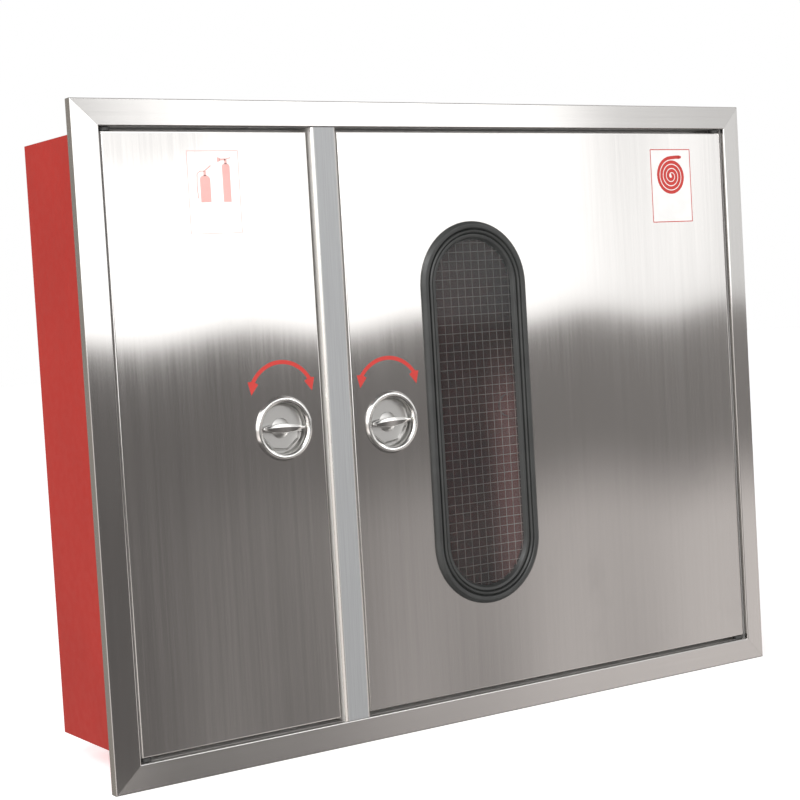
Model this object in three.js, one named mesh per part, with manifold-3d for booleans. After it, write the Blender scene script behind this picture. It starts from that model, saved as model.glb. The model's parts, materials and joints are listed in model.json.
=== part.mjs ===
// Recessed cabinet for a wall standpipe: a red steel box with a stainless trim frame, a narrow door
// over the extinguisher compartment and a wide door with a wired-glass window over the hose reel.
//
// Millimetres, +Z up. The doors face -Y and +X is to the right of a person facing them.
// The origin is the centre of the box's rear face, so depths in front of that face are negative Y.

import * as THREE from 'three';
import { mergeVertices } from 'three/addons/utils/BufferGeometryUtils.js';
import Module from 'manifold-3d';

// ---------------------------------------------------------------- driving dimensions

const BOX_W = 1050;            // outside of the red box
const BOX_H = 800;
const BOX_SHEET = 1.5;
const BOX_FLANGE = 18;         // in-turned front flange of the box
const FIXING_X = 440;          // wall fixings through the back panel
const FIXING_Z = 330;
const FIXING_R = 5.5;
const TRIM_FACE = 35;          // visible width of a trim member, all of it outside the box opening
const TRIM_SHEET = 1.2;
const TRIM_SIDE = 15;          // depth of the trim's outer edge, which stands on the wall face
const TRIM_FOOT = 9;           // in-turned foot of that edge
const STOP_LIP = 15;           // lip behind the doors
const CREST = -245;            // front of the trim at its inner edge
const TRIM_EDGE = -241;        // front of the trim at its outer edge
const STOP_FACE = -213.5;      // front of the stop lips
const BOX_FRONT = -212;        // front of the box flanges

const DOOR_FACE = -239.5;
const DOOR_DEPTH = 22;
const DOOR_SHEET = 1.2;
const DOOR_LIP = 12;
const DOOR_EDGE_R = 2.2;
const DOOR_H = 789;
const DOOR_HINGE_X = 521;      // outer edge of either door
const LEFT_FREE_X = -225.5;    // free edges, beside the mullion
const RIGHT_FREE_X = -178;

const MULLION_X = [-221.5, -181.5];
const MULLION_FLANGE = 14;
const MULLION_R = 5;
const SEAL_W = 9;              // rubber strips on the mullion's flanges, behind the doors' free edges
const SEAL_HALF = 370;
const SEAL_LEFT_X = -234;
const SEAL_RIGHT_X = -178;

const PIVOT_X = 514;           // pivot pins, inside the doors' outer corners
const PIVOT_Y = -232.5;
const PIN_R = 3;
const PIVOT_BLOCK_W = 18;
const PIVOT_BLOCK_H = 20;
const BUSH_FLANGE_R = 7.5;
const BUSH_TOP = 9;            // height of a bush above the box opening

const RIB_LEFT_X = -410;       // stiffening rib down the back of each door
const RIB_RIGHT_X = 330;
const RIB_HALF = 360;
const RIB_DEPTH = 12;
const RIB_CREST = 12;          // half widths of its crest, root and flanges
const RIB_ROOT = 14;
const RIB_FLANGE = 26;

const WINDOW_X = 34.5;         // window with half-round ends
const WINDOW_Z = -2;
const WINDOW_ARC_Z = 181.5;    // from the window's centre to the centre of each round end
const GLASS_R = 71.9;
const GLASS_T = 6;
const CUT_R = 77.5;            // cut-out in the door sheet
const GASKET_R = 90.5;

const LATCH_LEFT = { x: -286.5, z: 4, tilt: -2 };
const LATCH_RIGHT = { x: -117, z: -2, tilt: 2 };
const CUP_R = 43;
const BLADE_HALF = 31.5;
const BLADE_TIP = 1.6;         // half height of the blade at its tips
const BLADE_BULGE = 9.5;       // control point of the curve over its middle
const CAM_REACH = 62;
const CAM_Y = -210.5;
const CAM_T = 3;
const CAM_HALF = 8;

const REEL_X = 161;
const REEL_Z = -2.6;
const DISC_R = 300;
const DISC_SHEET = 1.5;
const DISC_FRONT = -127;       // flat of the front disc
const DISC_REAR = -14.5;       // rear of the back disc
const DRUM_R = 115;
const HOSE_D = 27;
const HOSE_LAYERS = 6;
const PIPE_R = 16.85;
const PIPE_BORE_R = 13.6;
const SLEEVE_R = 24.2;

const FEED_Y = -155;           // plane of the feed pipes
const RISER_X = 490;
const VALVE_Z = -250;
const INLET_Z = -425;

const GAP = 0.3;               // between pieces that touch
const SIDES = 16;              // facets round a small part
const RING_SIDES = 40;         // facets round a large ring

// ---------------------------------------------------------------- materials

function finish(color, roughness, metalness) {
  return new THREE.MeshStandardMaterial({ color, roughness, metalness });
}

const stainless = finish(0xb9b6b3, 0.3, 1);
const redPaint = finish(0xb2362a, 0.45, 0);
const chrome = finish(0xdad8d4, 0.12, 1);
const zinc = finish(0xa9abae, 0.4, 1);
const brass = finish(0xb08d4a, 0.35, 1);
const blackRubber = finish(0x3c4042, 0.6, 0);
const hoseRubber = finish(0x1d1e20, 0.65, 0);
const nylon = finish(0x3b3b3a, 0.5, 0);
const blackPlastic = finish(0x232427, 0.45, 0);
const redPlastic = finish(0xc03128, 0.4, 0);
const glass = finish(0x5d6a66, 0.05, 0);
glass.transparent = true;
glass.opacity = 0.35;

// ---------------------------------------------------------------- solids

const wasm = await Module();
wasm.setup();

// Closed three.js geometry to a solid. Triangles that merging has closed up are dropped.
function solid(geometry) {
  const bare = geometry.clone();
  bare.deleteAttribute('normal');
  bare.deleteAttribute('uv');
  const merged = mergeVertices(bare, 1e-4);
  const index = merged.index.array;
  const triangles = [];
  for (let i = 0; i < index.length; i += 3) {
    const [a, b, c] = [index[i], index[i + 1], index[i + 2]];
    if (a !== b && b !== c && c !== a) triangles.push(a, b, c);
  }
  return new wasm.Manifold(new wasm.Mesh({
    numProp: 3,
    vertProperties: new Float32Array(merged.attributes.position.array),
    triVerts: new Uint32Array(triangles),
  }));
}

function surface(body) {
  const mesh = body.getMesh();
  const geometry = new THREE.BufferGeometry();
  geometry.setAttribute('position', new THREE.BufferAttribute(new Float32Array(mesh.vertProperties), 3));
  geometry.setIndex(new THREE.BufferAttribute(new Uint32Array(mesh.triVerts), 1));
  geometry.computeVertexNormals();
  return geometry;
}

function union(...bodies) {
  return bodies.reduce((sum, body) => sum.add(body));
}

function block([x0, x1], [y0, y1], [z0, z1]) {
  const geometry = new THREE.BoxGeometry(x1 - x0, y1 - y0, z1 - z0);
  return solid(geometry.translate((x0 + x1) / 2, (y0 + y1) / 2, (z0 + z1) / 2));
}

function rodX(y, z, r, [x0, x1], sides = SIDES) {
  const geometry = new THREE.CylinderGeometry(r, r, x1 - x0, sides);
  return solid(geometry.rotateZ(Math.PI / 2).translate((x0 + x1) / 2, y, z));
}

function rodY(x, z, r, [y0, y1], sides = SIDES) {
  const geometry = new THREE.CylinderGeometry(r, r, y1 - y0, sides);
  return solid(geometry.translate(x, (y0 + y1) / 2, z));
}

function rodZ(x, y, r, [z0, z1], sides = SIDES) {
  const geometry = new THREE.CylinderGeometry(r, r, z1 - z0, sides);
  return solid(geometry.rotateX(Math.PI / 2).translate(x, y, (z0 + z1) / 2));
}

// Turns a closed outline of [radius, y] points about the Y axis.
function revolveGeometry(outline, sides) {
  let area = 0;
  outline.forEach(([r, y], i) => {
    const [nextR, nextY] = outline[(i + 1) % outline.length];
    area += r * nextY - nextR * y;
  });
  const ordered = area > 0 ? outline : [...outline].reverse();
  const points = [...ordered, ordered[0]].map(([r, y]) => new THREE.Vector2(r, y));
  return new THREE.LatheGeometry(points, sides);
}

function ball(x, y, z, r) {
  return solid(new THREE.SphereGeometry(r, SIDES, SIDES / 2).translate(x, y, z));
}

function revolve(outline, sides = RING_SIDES) {
  return solid(revolveGeometry(outline, sides));
}

function shapeOf(points) {
  return new THREE.Shape(points.map(([a, b]) => new THREE.Vector2(a, b)));
}

// Front-view shape [x, z], from y0 back to y1.
function slab(shape, [y0, y1], curveSegments = RING_SIDES / 2) {
  const geometry = new THREE.ExtrudeGeometry(shape, { depth: y1 - y0, bevelEnabled: false, curveSegments });
  return solid(geometry.rotateX(Math.PI / 2).translate(0, y1, 0));
}

// Plan-view shape [x, y], from z0 up to z1.
function column(shape, [z0, z1]) {
  const geometry = new THREE.ExtrudeGeometry(shape, { depth: z1 - z0, bevelEnabled: false });
  return solid(geometry.translate(0, 0, z0));
}

// Rounds the inner corners of an open path with short curves.
function rounded(points, radius, steps = 3) {
  const path = [points[0]];
  for (let i = 1; i < points.length - 1; i += 1) {
    const corner = new THREE.Vector2(...points[i]);
    const before = new THREE.Vector2(...points[i - 1]).sub(corner);
    const after = new THREE.Vector2(...points[i + 1]).sub(corner);
    const reach = Math.min(radius, before.length() * 0.45, after.length() * 0.45);
    const start = before.setLength(reach).add(corner);
    const end = after.setLength(reach).add(corner);
    const curve = new THREE.QuadraticBezierCurve(start, corner, end);
    path.push(...curve.getPoints(steps).map((p) => [p.x, p.y]));
  }
  path.push(points[points.length - 1]);
  return path;
}

// Section of a folded sheet: the path is one face, and the sheet lies to the left of its direction.
function foldedSheet(path, thickness) {
  const other = path.map((point, i) => {
    const here = new THREE.Vector2(...point);
    const directions = [];
    if (i > 0) directions.push(here.clone().sub(new THREE.Vector2(...path[i - 1])).normalize());
    if (i < path.length - 1) directions.push(new THREE.Vector2(...path[i + 1]).sub(here).normalize());
    const normals = directions.map((d) => new THREE.Vector2(-d.y, d.x));
    const sum = normals.reduce((total, n) => total.add(n), new THREE.Vector2());
    const mitre = sum.multiplyScalar(thickness * normals.length / sum.lengthSq());
    return [here.x + mitre.x, here.y + mitre.y];
  });
  return shapeOf([...path, ...other.reverse()]);
}

// ---------------------------------------------------------------- assembly

const cabinet = new THREE.Group();

function piece(name, body, material) {
  const mesh = new THREE.Mesh(surface(body), material);
  mesh.name = name;
  cabinet.add(mesh);
}

// ---------------------------------------------------------------- red box

const BOX_X = BOX_W / 2;
const BOX_Z = BOX_H / 2;
const PANEL_BACK = -BOX_SHEET - GAP;
const FLANGE_BACK = BOX_FRONT + BOX_SHEET;

function backPanel() {
  let panel = block([-BOX_X, BOX_X], [-BOX_SHEET, 0], [-BOX_Z, BOX_Z]);
  for (const x of [-FIXING_X, FIXING_X]) {
    for (const z of [-FIXING_Z, FIXING_Z]) {
      panel = panel.subtract(rodY(x, z, FIXING_R, [-2 * BOX_SHEET, BOX_SHEET]));
    }
  }
  return panel;
}

// Side wall with its front flange; sign is -1 on the left.
function sidePanel(sign) {
  const path = [
    [sign * (BOX_X - BOX_FLANGE), BOX_FRONT],
    [sign * BOX_X, BOX_FRONT],
    [sign * BOX_X, PANEL_BACK],
  ];
  return column(foldedSheet(sign > 0 ? path : path.reverse(), BOX_SHEET), [-BOX_Z, BOX_Z]);
}

// Top or bottom wall between the side walls.
function levelPanel(sign) {
  const wallX = BOX_X - BOX_SHEET - GAP;
  const flangeX = BOX_X - BOX_FLANGE - GAP;
  const zs = (z0, z1) => (sign > 0 ? [z0, z1] : [-z1, -z0]);
  const wall = block([-wallX, wallX], [FLANGE_BACK + GAP, PANEL_BACK], zs(BOX_Z - BOX_SHEET, BOX_Z));
  const front = block([-flangeX, flangeX], [BOX_FRONT, FLANGE_BACK + 1], zs(BOX_Z - BOX_SHEET, BOX_Z));
  const flange = block([-flangeX, flangeX], [BOX_FRONT, FLANGE_BACK], zs(BOX_Z - BOX_FLANGE, BOX_Z));
  return union(wall, front, flange);
}

function partition() {
  const x = (MULLION_X[0] + MULLION_X[1]) / 2;
  const half = BOX_SHEET / 2;
  const innerZ = BOX_Z - BOX_SHEET - GAP;
  const clearZ = BOX_Z - BOX_FLANGE - GAP;
  const deep = block([x - half, x + half], [FLANGE_BACK + GAP, PANEL_BACK], [-innerZ, innerZ]);
  const front = block([x - half, x + half], [BOX_FRONT, FLANGE_BACK + 1], [-clearZ, clearZ]);
  return deep.add(front);
}

piece('back_panel', backPanel(), redPaint);
piece('left_side_panel', sidePanel(-1), redPaint);
piece('right_side_panel', sidePanel(1), redPaint);
piece('top_panel', levelPanel(1), redPaint);
const inletHoleR = 24.5;
const inletHole = rodZ(RISER_X, FEED_Y, inletHoleR, [-BOX_Z - 1, -BOX_Z + 3], 24);
piece('bottom_panel', levelPanel(-1).subtract(inletHole), redPaint);
piece('compartment_partition', partition(), redPaint);

// ---------------------------------------------------------------- trim frame and mullion

const TRIM_W = BOX_W + 2 * TRIM_FACE;
const TRIM_H = BOX_H + 2 * TRIM_FACE;
const BUSH_R = 5;

// One mitred member, made as the top one with its outer edge on Z = 0.
function trimMember(length) {
  const footY = TRIM_EDGE + TRIM_SIDE;
  const path = rounded([
    [TRIM_FOOT, footY],
    [0, footY],
    [0, TRIM_EDGE],
    [TRIM_FACE, CREST],
    [TRIM_FACE, STOP_FACE],
    [TRIM_FACE + STOP_LIP, STOP_FACE],
  ], 1.6, 2);
  const section = foldedSheet(path, TRIM_SHEET);
  const geometry = new THREE.ExtrudeGeometry(section, { depth: 1, bevelEnabled: false });
  const position = geometry.attributes.position;
  for (let i = 0; i < position.count; i += 1) {
    const inward = position.getX(i);
    const y = position.getY(i);
    const along = (2 * position.getZ(i) - 1) * (length / 2 - inward - GAP / 2);
    position.setXYZ(i, along, y, -inward);
  }
  return geometry;
}

function trimPiece(name, length, offset, turn, holes = []) {
  const geometry = trimMember(length).translate(0, 0, offset).rotateY(turn);
  piece(name, holes.reduce((body, hole) => body.subtract(hole), solid(geometry)), stainless);
}

function pivotHoles(sign) {
  const z = [sign * (BOX_Z + 5), sign * (BOX_Z - 2)].sort((a, b) => a - b);
  return [-PIVOT_X, PIVOT_X].map((x) => rodZ(x, PIVOT_Y, BUSH_R + GAP, z));
}

trimPiece('trim_top', TRIM_W, TRIM_H / 2, 0, pivotHoles(1));
trimPiece('trim_bottom', TRIM_W, TRIM_H / 2, Math.PI, pivotHoles(-1));
trimPiece('trim_left', TRIM_H, TRIM_W / 2, -Math.PI / 2);
trimPiece('trim_right', TRIM_H, TRIM_W / 2, Math.PI / 2);

// Hat section between the doors. Its rear flanges are what the latch cams catch.
function mullion() {
  const [left, right] = MULLION_X;
  const path = [
    [left - MULLION_FLANGE, STOP_FACE],
    [left, STOP_FACE],
    ...rounded([[left, STOP_FACE - 1], [left, CREST], [right, CREST], [right, STOP_FACE - 1]], MULLION_R, 4),
    [right, STOP_FACE],
    [right + MULLION_FLANGE, STOP_FACE],
  ];
  const endZ = BOX_Z - GAP;
  const notchZ = BOX_Z - STOP_LIP - GAP;
  let body = column(foldedSheet(path, TRIM_SHEET), [-endZ, endZ]);
  for (const z of [[-BOX_Z, -notchZ], [notchZ, BOX_Z]]) {
    body = body.subtract(block([left - 20, right + 20], [STOP_FACE - 2, BOX_FRONT + 1], z));
  }
  return body;
}

piece('mullion', mullion(), stainless);

function sealStrip(x0) {
  return block([x0, x0 + SEAL_W], [DOOR_FACE + DOOR_DEPTH + GAP, STOP_FACE - GAP], [-SEAL_HALF, SEAL_HALF]);
}

piece('left_seal_strip', sealStrip(SEAL_LEFT_X), blackRubber);
piece('right_seal_strip', sealStrip(SEAL_RIGHT_X), blackRubber);

// ---------------------------------------------------------------- door pivots

const DOOR_Z = DOOR_H / 2;
const PIN_CLEARANCE = 0.15;

// Flanged bush in the trim. The pin of the door turns in it, and its flange fills the door gap.
function pivotBush(sideX, sideZ) {
  const outline = [
    [PIN_R + PIN_CLEARANCE, DOOR_Z + GAP],
    [BUSH_FLANGE_R, DOOR_Z + GAP],
    [BUSH_FLANGE_R, BOX_Z - GAP],
    [BUSH_R, BOX_Z - GAP],
    [BUSH_R, BOX_Z + BUSH_TOP],
    [PIN_R + PIN_CLEARANCE, BOX_Z + BUSH_TOP],
  ];
  const geometry = revolveGeometry(outline, SIDES).rotateX(Math.PI / 2);
  if (sideZ < 0) geometry.rotateX(Math.PI);
  return solid(geometry.translate(sideX * PIVOT_X, PIVOT_Y, 0));
}

// Block inside the corner of the door, with its pin.
function doorPivot(sideX, sideZ) {
  const inner = DOOR_HINGE_X - DOOR_SHEET - GAP;
  const xs = [sideX * inner, sideX * (inner - PIVOT_BLOCK_W)].sort((a, b) => a - b);
  const zTop = DOOR_Z - DOOR_SHEET - GAP;
  const zs = [sideZ * zTop, sideZ * (zTop - PIVOT_BLOCK_H)].sort((a, b) => a - b);
  const ys = [DOOR_FACE + DOOR_SHEET + GAP, DOOR_FACE + DOOR_DEPTH - 4];
  const pin = [sideZ * (zTop - 8), sideZ * (BOX_Z + 6)].sort((a, b) => a - b);
  return block(xs, ys, zs).add(rodZ(sideX * PIVOT_X, PIVOT_Y, PIN_R, pin));
}

for (const [sideX, side] of [[-1, 'left'], [1, 'right']]) {
  for (const [sideZ, end] of [[1, 'top'], [-1, 'bottom']]) {
    piece(`${side}_bush_${end}`, pivotBush(sideX, sideZ), nylon);
    piece(`${side}_pivot_${end}`, doorPivot(sideX, sideZ), zinc);
  }
}

// ---------------------------------------------------------------- doors

// Folded tray with a softened front edge, open at the back inside its lips.
function doorTray(x0, x1) {
  const r = DOOR_EDGE_R;
  const outline = shapeOf([
    [x0 + r, -DOOR_Z + r], [x1 - r, -DOOR_Z + r], [x1 - r, DOOR_Z - r], [x0 + r, DOOR_Z - r],
  ]);
  const back = DOOR_FACE + DOOR_DEPTH;
  const geometry = new THREE.ExtrudeGeometry(outline, {
    depth: DOOR_DEPTH, bevelEnabled: true, bevelThickness: r, bevelSize: r, bevelSegments: 3,
  });
  geometry.rotateX(Math.PI / 2).translate(0, back + r, 0);
  const t = DOOR_SHEET;
  const lip = DOOR_LIP;
  const behind = block([x0 - 1, x1 + 1], [back, back + 10], [-DOOR_Z - 1, DOOR_Z + 1]);
  const inside = block([x0 + t, x1 - t], [DOOR_FACE + t, back - t], [-DOOR_Z + t, DOOR_Z - t]);
  const mouth = block([x0 + lip, x1 - lip], [back - t - 1, back + 1], [-DOOR_Z + lip, DOOR_Z - lip]);
  let tray = solid(geometry).subtract(behind).subtract(inside).subtract(mouth);
  const hingeX = Math.abs(x0) > Math.abs(x1) ? -PIVOT_X : PIVOT_X;
  for (const z of [[-DOOR_Z - 1, -DOOR_Z + 3], [DOOR_Z - 3, DOOR_Z + 1]]) {
    tray = tray.subtract(rodZ(hingeX, PIVOT_Y, PIN_R + GAP, z));
  }
  return tray;
}

function stadium(radius) {
  const shape = new THREE.Shape();
  shape.absarc(WINDOW_X, WINDOW_Z + WINDOW_ARC_Z, radius, 0, Math.PI);
  shape.absarc(WINDOW_X, WINDOW_Z - WINDOW_ARC_Z, radius, Math.PI, 2 * Math.PI);
  return shape;
}

const SKIN_HOLE_R = 36;

function latchHole(latch) {
  return rodY(latch.x, latch.z, SKIN_HOLE_R, [DOOR_FACE - 1, DOOR_FACE + 3], 32);
}

// Hat-section rib down the back of a door sheet.
function stiffener(x) {
  const front = DOOR_FACE + DOOR_SHEET + GAP;
  const root = front + DOOR_SHEET;
  const back = front + RIB_DEPTH;
  const path = [
    [x + RIB_FLANGE, root], [x + RIB_ROOT, root], [x + RIB_CREST, back], [x - RIB_CREST, back],
    [x - RIB_ROOT, root], [x - RIB_FLANGE, root],
  ];
  return column(foldedSheet(path, DOOR_SHEET), [-RIB_HALF, RIB_HALF]);
}

piece('left_door_panel', doorTray(-DOOR_HINGE_X, LEFT_FREE_X).subtract(latchHole(LATCH_LEFT)), stainless);
const windowCut = slab(stadium(CUT_R), [DOOR_FACE - 1, DOOR_FACE + 3]);
const rightTray = doorTray(RIGHT_FREE_X, DOOR_HINGE_X).subtract(latchHole(LATCH_RIGHT));
piece('right_door_panel', rightTray.subtract(windowCut), stainless);
piece('left_door_stiffener', stiffener(RIB_LEFT_X), zinc);
piece('right_door_stiffener', stiffener(RIB_RIGHT_X), zinc);

// ---------------------------------------------------------------- window

// Carries an outline of [radius, y] round the window: a ring parted at its middle, so that the two
// facets that cross the middle become the straight sides.
function windowRing(outline) {
  const geometry = revolveGeometry(outline, RING_SIDES).rotateY(Math.PI / RING_SIDES);
  const position = geometry.attributes.position;
  for (let i = 0; i < position.count; i += 1) {
    const z = position.getZ(i);
    position.setZ(i, z + Math.sign(z) * WINDOW_ARC_Z);
  }
  return solid(geometry.translate(WINDOW_X, DOOR_FACE, WINDOW_Z));
}

const GLASS_Y = 1.5;           // front of the glass, behind the door face

const gasketOutline = [
  [GASKET_R, -GAP], [89.4, -3.8], [85, -5.8], [79, -4.2], [78.6, -1.8], [73.6, -1.8], [73.2, -4],
  [68.6, -3.6], [65.5, GLASS_Y - GAP],
  [GLASS_R + GAP, GLASS_Y - GAP], [GLASS_R + GAP, GLASS_Y + GLASS_T + GAP],
  [65.5, GLASS_Y + GLASS_T + GAP], [69.5, 12.4], [83, 12.4], [88, 7.5], [88, DOOR_SHEET + GAP],
  [CUT_R - GAP, DOOR_SHEET + GAP], [CUT_R - GAP, -GAP],
];
const stripOutline = [
  [78.2, -2.1], [78.2, -5], [76.1, -6.2], [74, -5], [74, -2.1],
];

piece('window_gasket', windowRing(gasketOutline), blackRubber);
piece('window_locking_strip', windowRing(stripOutline), blackRubber);
const glassSpan = [DOOR_FACE + GLASS_Y, DOOR_FACE + GLASS_Y + GLASS_T];
piece('window_glass', slab(stadium(GLASS_R), glassSpan), glass);

// ---------------------------------------------------------------- latches

const CUP_FLOOR = 10.5;
const CUP_REAR = 13;
const BOSS_R = 10;
const SPINDLE_R = 5;
const NUT_R = 17.3;
const NUT_T = 5.5;

function latchCup(latch) {
  const outline = [
    [SPINDLE_R + GAP, CUP_FLOOR], [30.5, CUP_FLOOR], [33, CUP_FLOOR - 3], [33.6, 0], [35.5, -3.2],
    [38.5, -4.4], [41.5, -3], [CUP_R, -GAP], [SKIN_HOLE_R - GAP, -GAP], [SKIN_HOLE_R - GAP, CUP_REAR - 3],
    [SKIN_HOLE_R - 4, CUP_REAR], [BOSS_R, CUP_REAR], [BOSS_R, CUP_REAR + 8], [SPINDLE_R + GAP, CUP_REAR + 8],
  ];
  return revolve(outline, 32).translate([latch.x, DOOR_FACE, latch.z]);
}

function latchNut(latch) {
  const y0 = DOOR_FACE + CUP_REAR + GAP;
  const y1 = y0 + NUT_T;
  const hexagon = rodY(latch.x, latch.z, NUT_R, [y0, y1], 6);
  return hexagon.subtract(rodY(latch.x, latch.z, BOSS_R + GAP, [y0 - 1, y1 + 1]));
}

// Lens-shaped turning blade and the spindle behind it, then turned by the latch's tilt.
function latchBlade(latch) {
  const shape = new THREE.Shape();
  shape.moveTo(-BLADE_HALF, -BLADE_TIP);
  shape.quadraticCurveTo(0, -BLADE_BULGE, BLADE_HALF, -BLADE_TIP);
  shape.lineTo(BLADE_HALF, BLADE_TIP);
  shape.quadraticCurveTo(0, BLADE_BULGE, -BLADE_HALF, BLADE_TIP);
  const blade = slab(shape, [-1.8, CUP_FLOOR - 3.6], 8);
  const hub = rodY(0, 0, 8, [4, CUP_FLOOR - GAP]);
  const spindle = rodY(0, 0, SPINDLE_R, [4, CAM_Y - GAP - DOOR_FACE]);
  return union(blade, hub, spindle).rotate([0, -latch.tilt, 0]).translate([latch.x, DOOR_FACE, latch.z]);
}

// Cam that hangs down when the door is free to open.
function latchCam(latch) {
  const shape = new THREE.Shape();
  shape.absarc(0, 0, 10, 0, Math.PI);
  shape.lineTo(-CAM_HALF, -CAM_REACH + 6);
  shape.quadraticCurveTo(-CAM_HALF, -CAM_REACH, -CAM_HALF + 6, -CAM_REACH);
  shape.lineTo(CAM_HALF - 6, -CAM_REACH);
  shape.quadraticCurveTo(CAM_HALF, -CAM_REACH, CAM_HALF, -CAM_REACH + 6);
  const cam = slab(shape, [0, CAM_T], 8);
  const head = rodY(0, 0, 6, [CAM_T - 0.5, CAM_T + 2.2], 6);
  return cam.add(head).rotate([0, -latch.tilt, 0]).translate([latch.x, CAM_Y, latch.z]);
}

for (const [latch, side] of [[LATCH_LEFT, 'left'], [LATCH_RIGHT, 'right']]) {
  piece(`${side}_latch_cup`, latchCup(latch), chrome);
  piece(`${side}_latch_nut`, latchNut(latch), zinc);
  piece(`${side}_latch_blade`, latchBlade(latch), chrome);
  piece(`${side}_latch_cam`, latchCam(latch), zinc);
}

// ---------------------------------------------------------------- hose reel

const COIL_Y = [DISC_FRONT + DISC_SHEET + GAP, DISC_REAR - DISC_SHEET - GAP];
const COIL_R = DRUM_R + GAP + HOSE_D * HOSE_LAYERS;

function atReel(body) {
  return body.translate([REEL_X, 0, REEL_Z]);
}

// Pressed disc: a dished hub, one raised ring and a flared rim. Dish is -1 towards the front.
function reelDisc(flat, dish) {
  const steps = [
    [SLEEVE_R + GAP, 4], [56, 4], [62, 0], [186, 0], [192, 2.6], [214, 2.6], [220, 0], [292, 0], [DISC_R, 6],
  ];
  const frontFace = steps.map(([r, rise]) => [r, flat + dish * rise]);
  const rearFace = steps.map(([r, rise]) => [r, flat + dish * rise + DISC_SHEET]).reverse();
  return atReel(revolve([...frontFace, ...rearFace]));
}

function tube(outer, inner, [y0, y1], sides = RING_SIDES) {
  return atReel(revolve([[inner, y0], [outer, y0], [outer, y1], [inner, y1]], sides));
}

const REAR_FLAT = DISC_REAR - DISC_SHEET;
piece('reel_front_disc', reelDisc(DISC_FRONT, -1), redPaint);
piece('reel_rear_disc', reelDisc(REAR_FLAT, 0.6), redPaint);
piece('reel_drum', tube(DRUM_R, DRUM_R - 1.5, COIL_Y), redPaint);
piece('reel_sleeve', tube(SLEEVE_R, PIPE_R + GAP, [-133, -9], SIDES), redPaint);
piece('hose_coil', tube(COIL_R, DRUM_R + GAP, COIL_Y), hoseRubber);

// End of the hose on the outside of the coil, down to the nozzle at the bottom.
const TAIL_R = COIL_R + HOSE_D / 2 + 1.6;
const TAIL_START = 175;
const TAIL_END = 255.6;
const TAIL_Y = (COIL_Y[0] + COIL_Y[1]) / 2;

function reelPoint(radius, degrees) {
  const a = THREE.MathUtils.degToRad(degrees);
  return new THREE.Vector3(REEL_X + radius * Math.cos(a), TAIL_Y, REEL_Z + radius * Math.sin(a));
}

class TailCurve extends THREE.Curve {
  getPoint(t) {
    return reelPoint(TAIL_R, TAIL_START + (TAIL_END - TAIL_START) * t);
  }
}

function hoseTail() {
  const section = new THREE.Shape();
  section.absarc(0, 0, HOSE_D / 2, 0, 2 * Math.PI);
  const settings = { steps: 12, curveSegments: 5, bevelEnabled: false, extrudePath: new TailCurve() };
  return solid(new THREE.ExtrudeGeometry(section, settings));
}

// Turns an outline of [radius, distance] about the nozzle's axis, which leaves the hose's end.
function alongNozzle(outline) {
  const direction = TAIL_END + 90;
  const start = reelPoint(TAIL_R, TAIL_END);
  const geometry = revolveGeometry(outline, SIDES).rotateZ(-Math.PI / 2);
  geometry.rotateY(THREE.MathUtils.degToRad(-direction)).translate(start.x, start.y, start.z);
  return solid(geometry);
}

piece('hose_tail', hoseTail(), hoseRubber);
piece('nozzle_body', alongNozzle([
  [0, 1], [14.2, 1], [14.8, 4], [14.8, 34], [13, 38], [13, 52], [16, 56], [16, 70], [11, 71], [11, 118],
  [0, 118],
]), blackPlastic);
piece('nozzle_head', alongNozzle([
  [11.4, 72], [18, 72], [19.5, 76], [19.5, 112], [17, 122], [14, 138], [14, 146], [8, 146], [8, 119],
  [11.4, 119],
]), redPlastic);

// ---------------------------------------------------------------- reel bracket and feed pipes

function pipeZ(x, y, [z0, z1]) {
  return rodZ(x, y, PIPE_R, [z0, z1]).subtract(rodZ(x, y, PIPE_BORE_R, [z0 - 1, z1 + 1]));
}

const BRACKET_T = 4;
const BRACKET_HALF = 85;
const BRACKET_HOLE = 69;       // bolt holes either side of its centre
const BRACKET_HOLE_R = 5;

function reelBracket() {
  const y = [PANEL_BACK - BRACKET_T, PANEL_BACK];
  const x = [REEL_X - BRACKET_HALF, REEL_X + BRACKET_HALF];
  let plate = block(x, y, [REEL_Z - BRACKET_HALF, REEL_Z + BRACKET_HALF]);
  for (const dx of [-BRACKET_HOLE, BRACKET_HOLE]) {
    for (const dz of [-BRACKET_HOLE, BRACKET_HOLE]) {
      plate = plate.subtract(rodY(REEL_X + dx, REEL_Z + dz, BRACKET_HOLE_R, [y[0] - 1, y[1] + 1]));
    }
  }
  return plate;
}

// Welded elbow at the front of the axle, of the pipe's own diameter.
const ELBOW_END_X = REEL_X + 36;
const AXLE_FRONT = -137;

function hubElbow() {
  const outside = union(
    ball(REEL_X, FEED_Y, REEL_Z, PIPE_R),
    rodX(FEED_Y, REEL_Z, PIPE_R, [REEL_X, ELBOW_END_X]),
    rodY(REEL_X, REEL_Z, PIPE_R, [FEED_Y, AXLE_FRONT - GAP]),
  );
  return outside
    .subtract(rodX(FEED_Y, REEL_Z, PIPE_BORE_R, [REEL_X - 4, ELBOW_END_X + 1]))
    .subtract(rodY(REEL_X, REEL_Z, PIPE_BORE_R, [FEED_Y - 4, AXLE_FRONT + 1]));
}

const SOCKET_R = 21.5;
const ELBOW_SOCKET = 9;
const ELBOW_REACH = 27;

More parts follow.
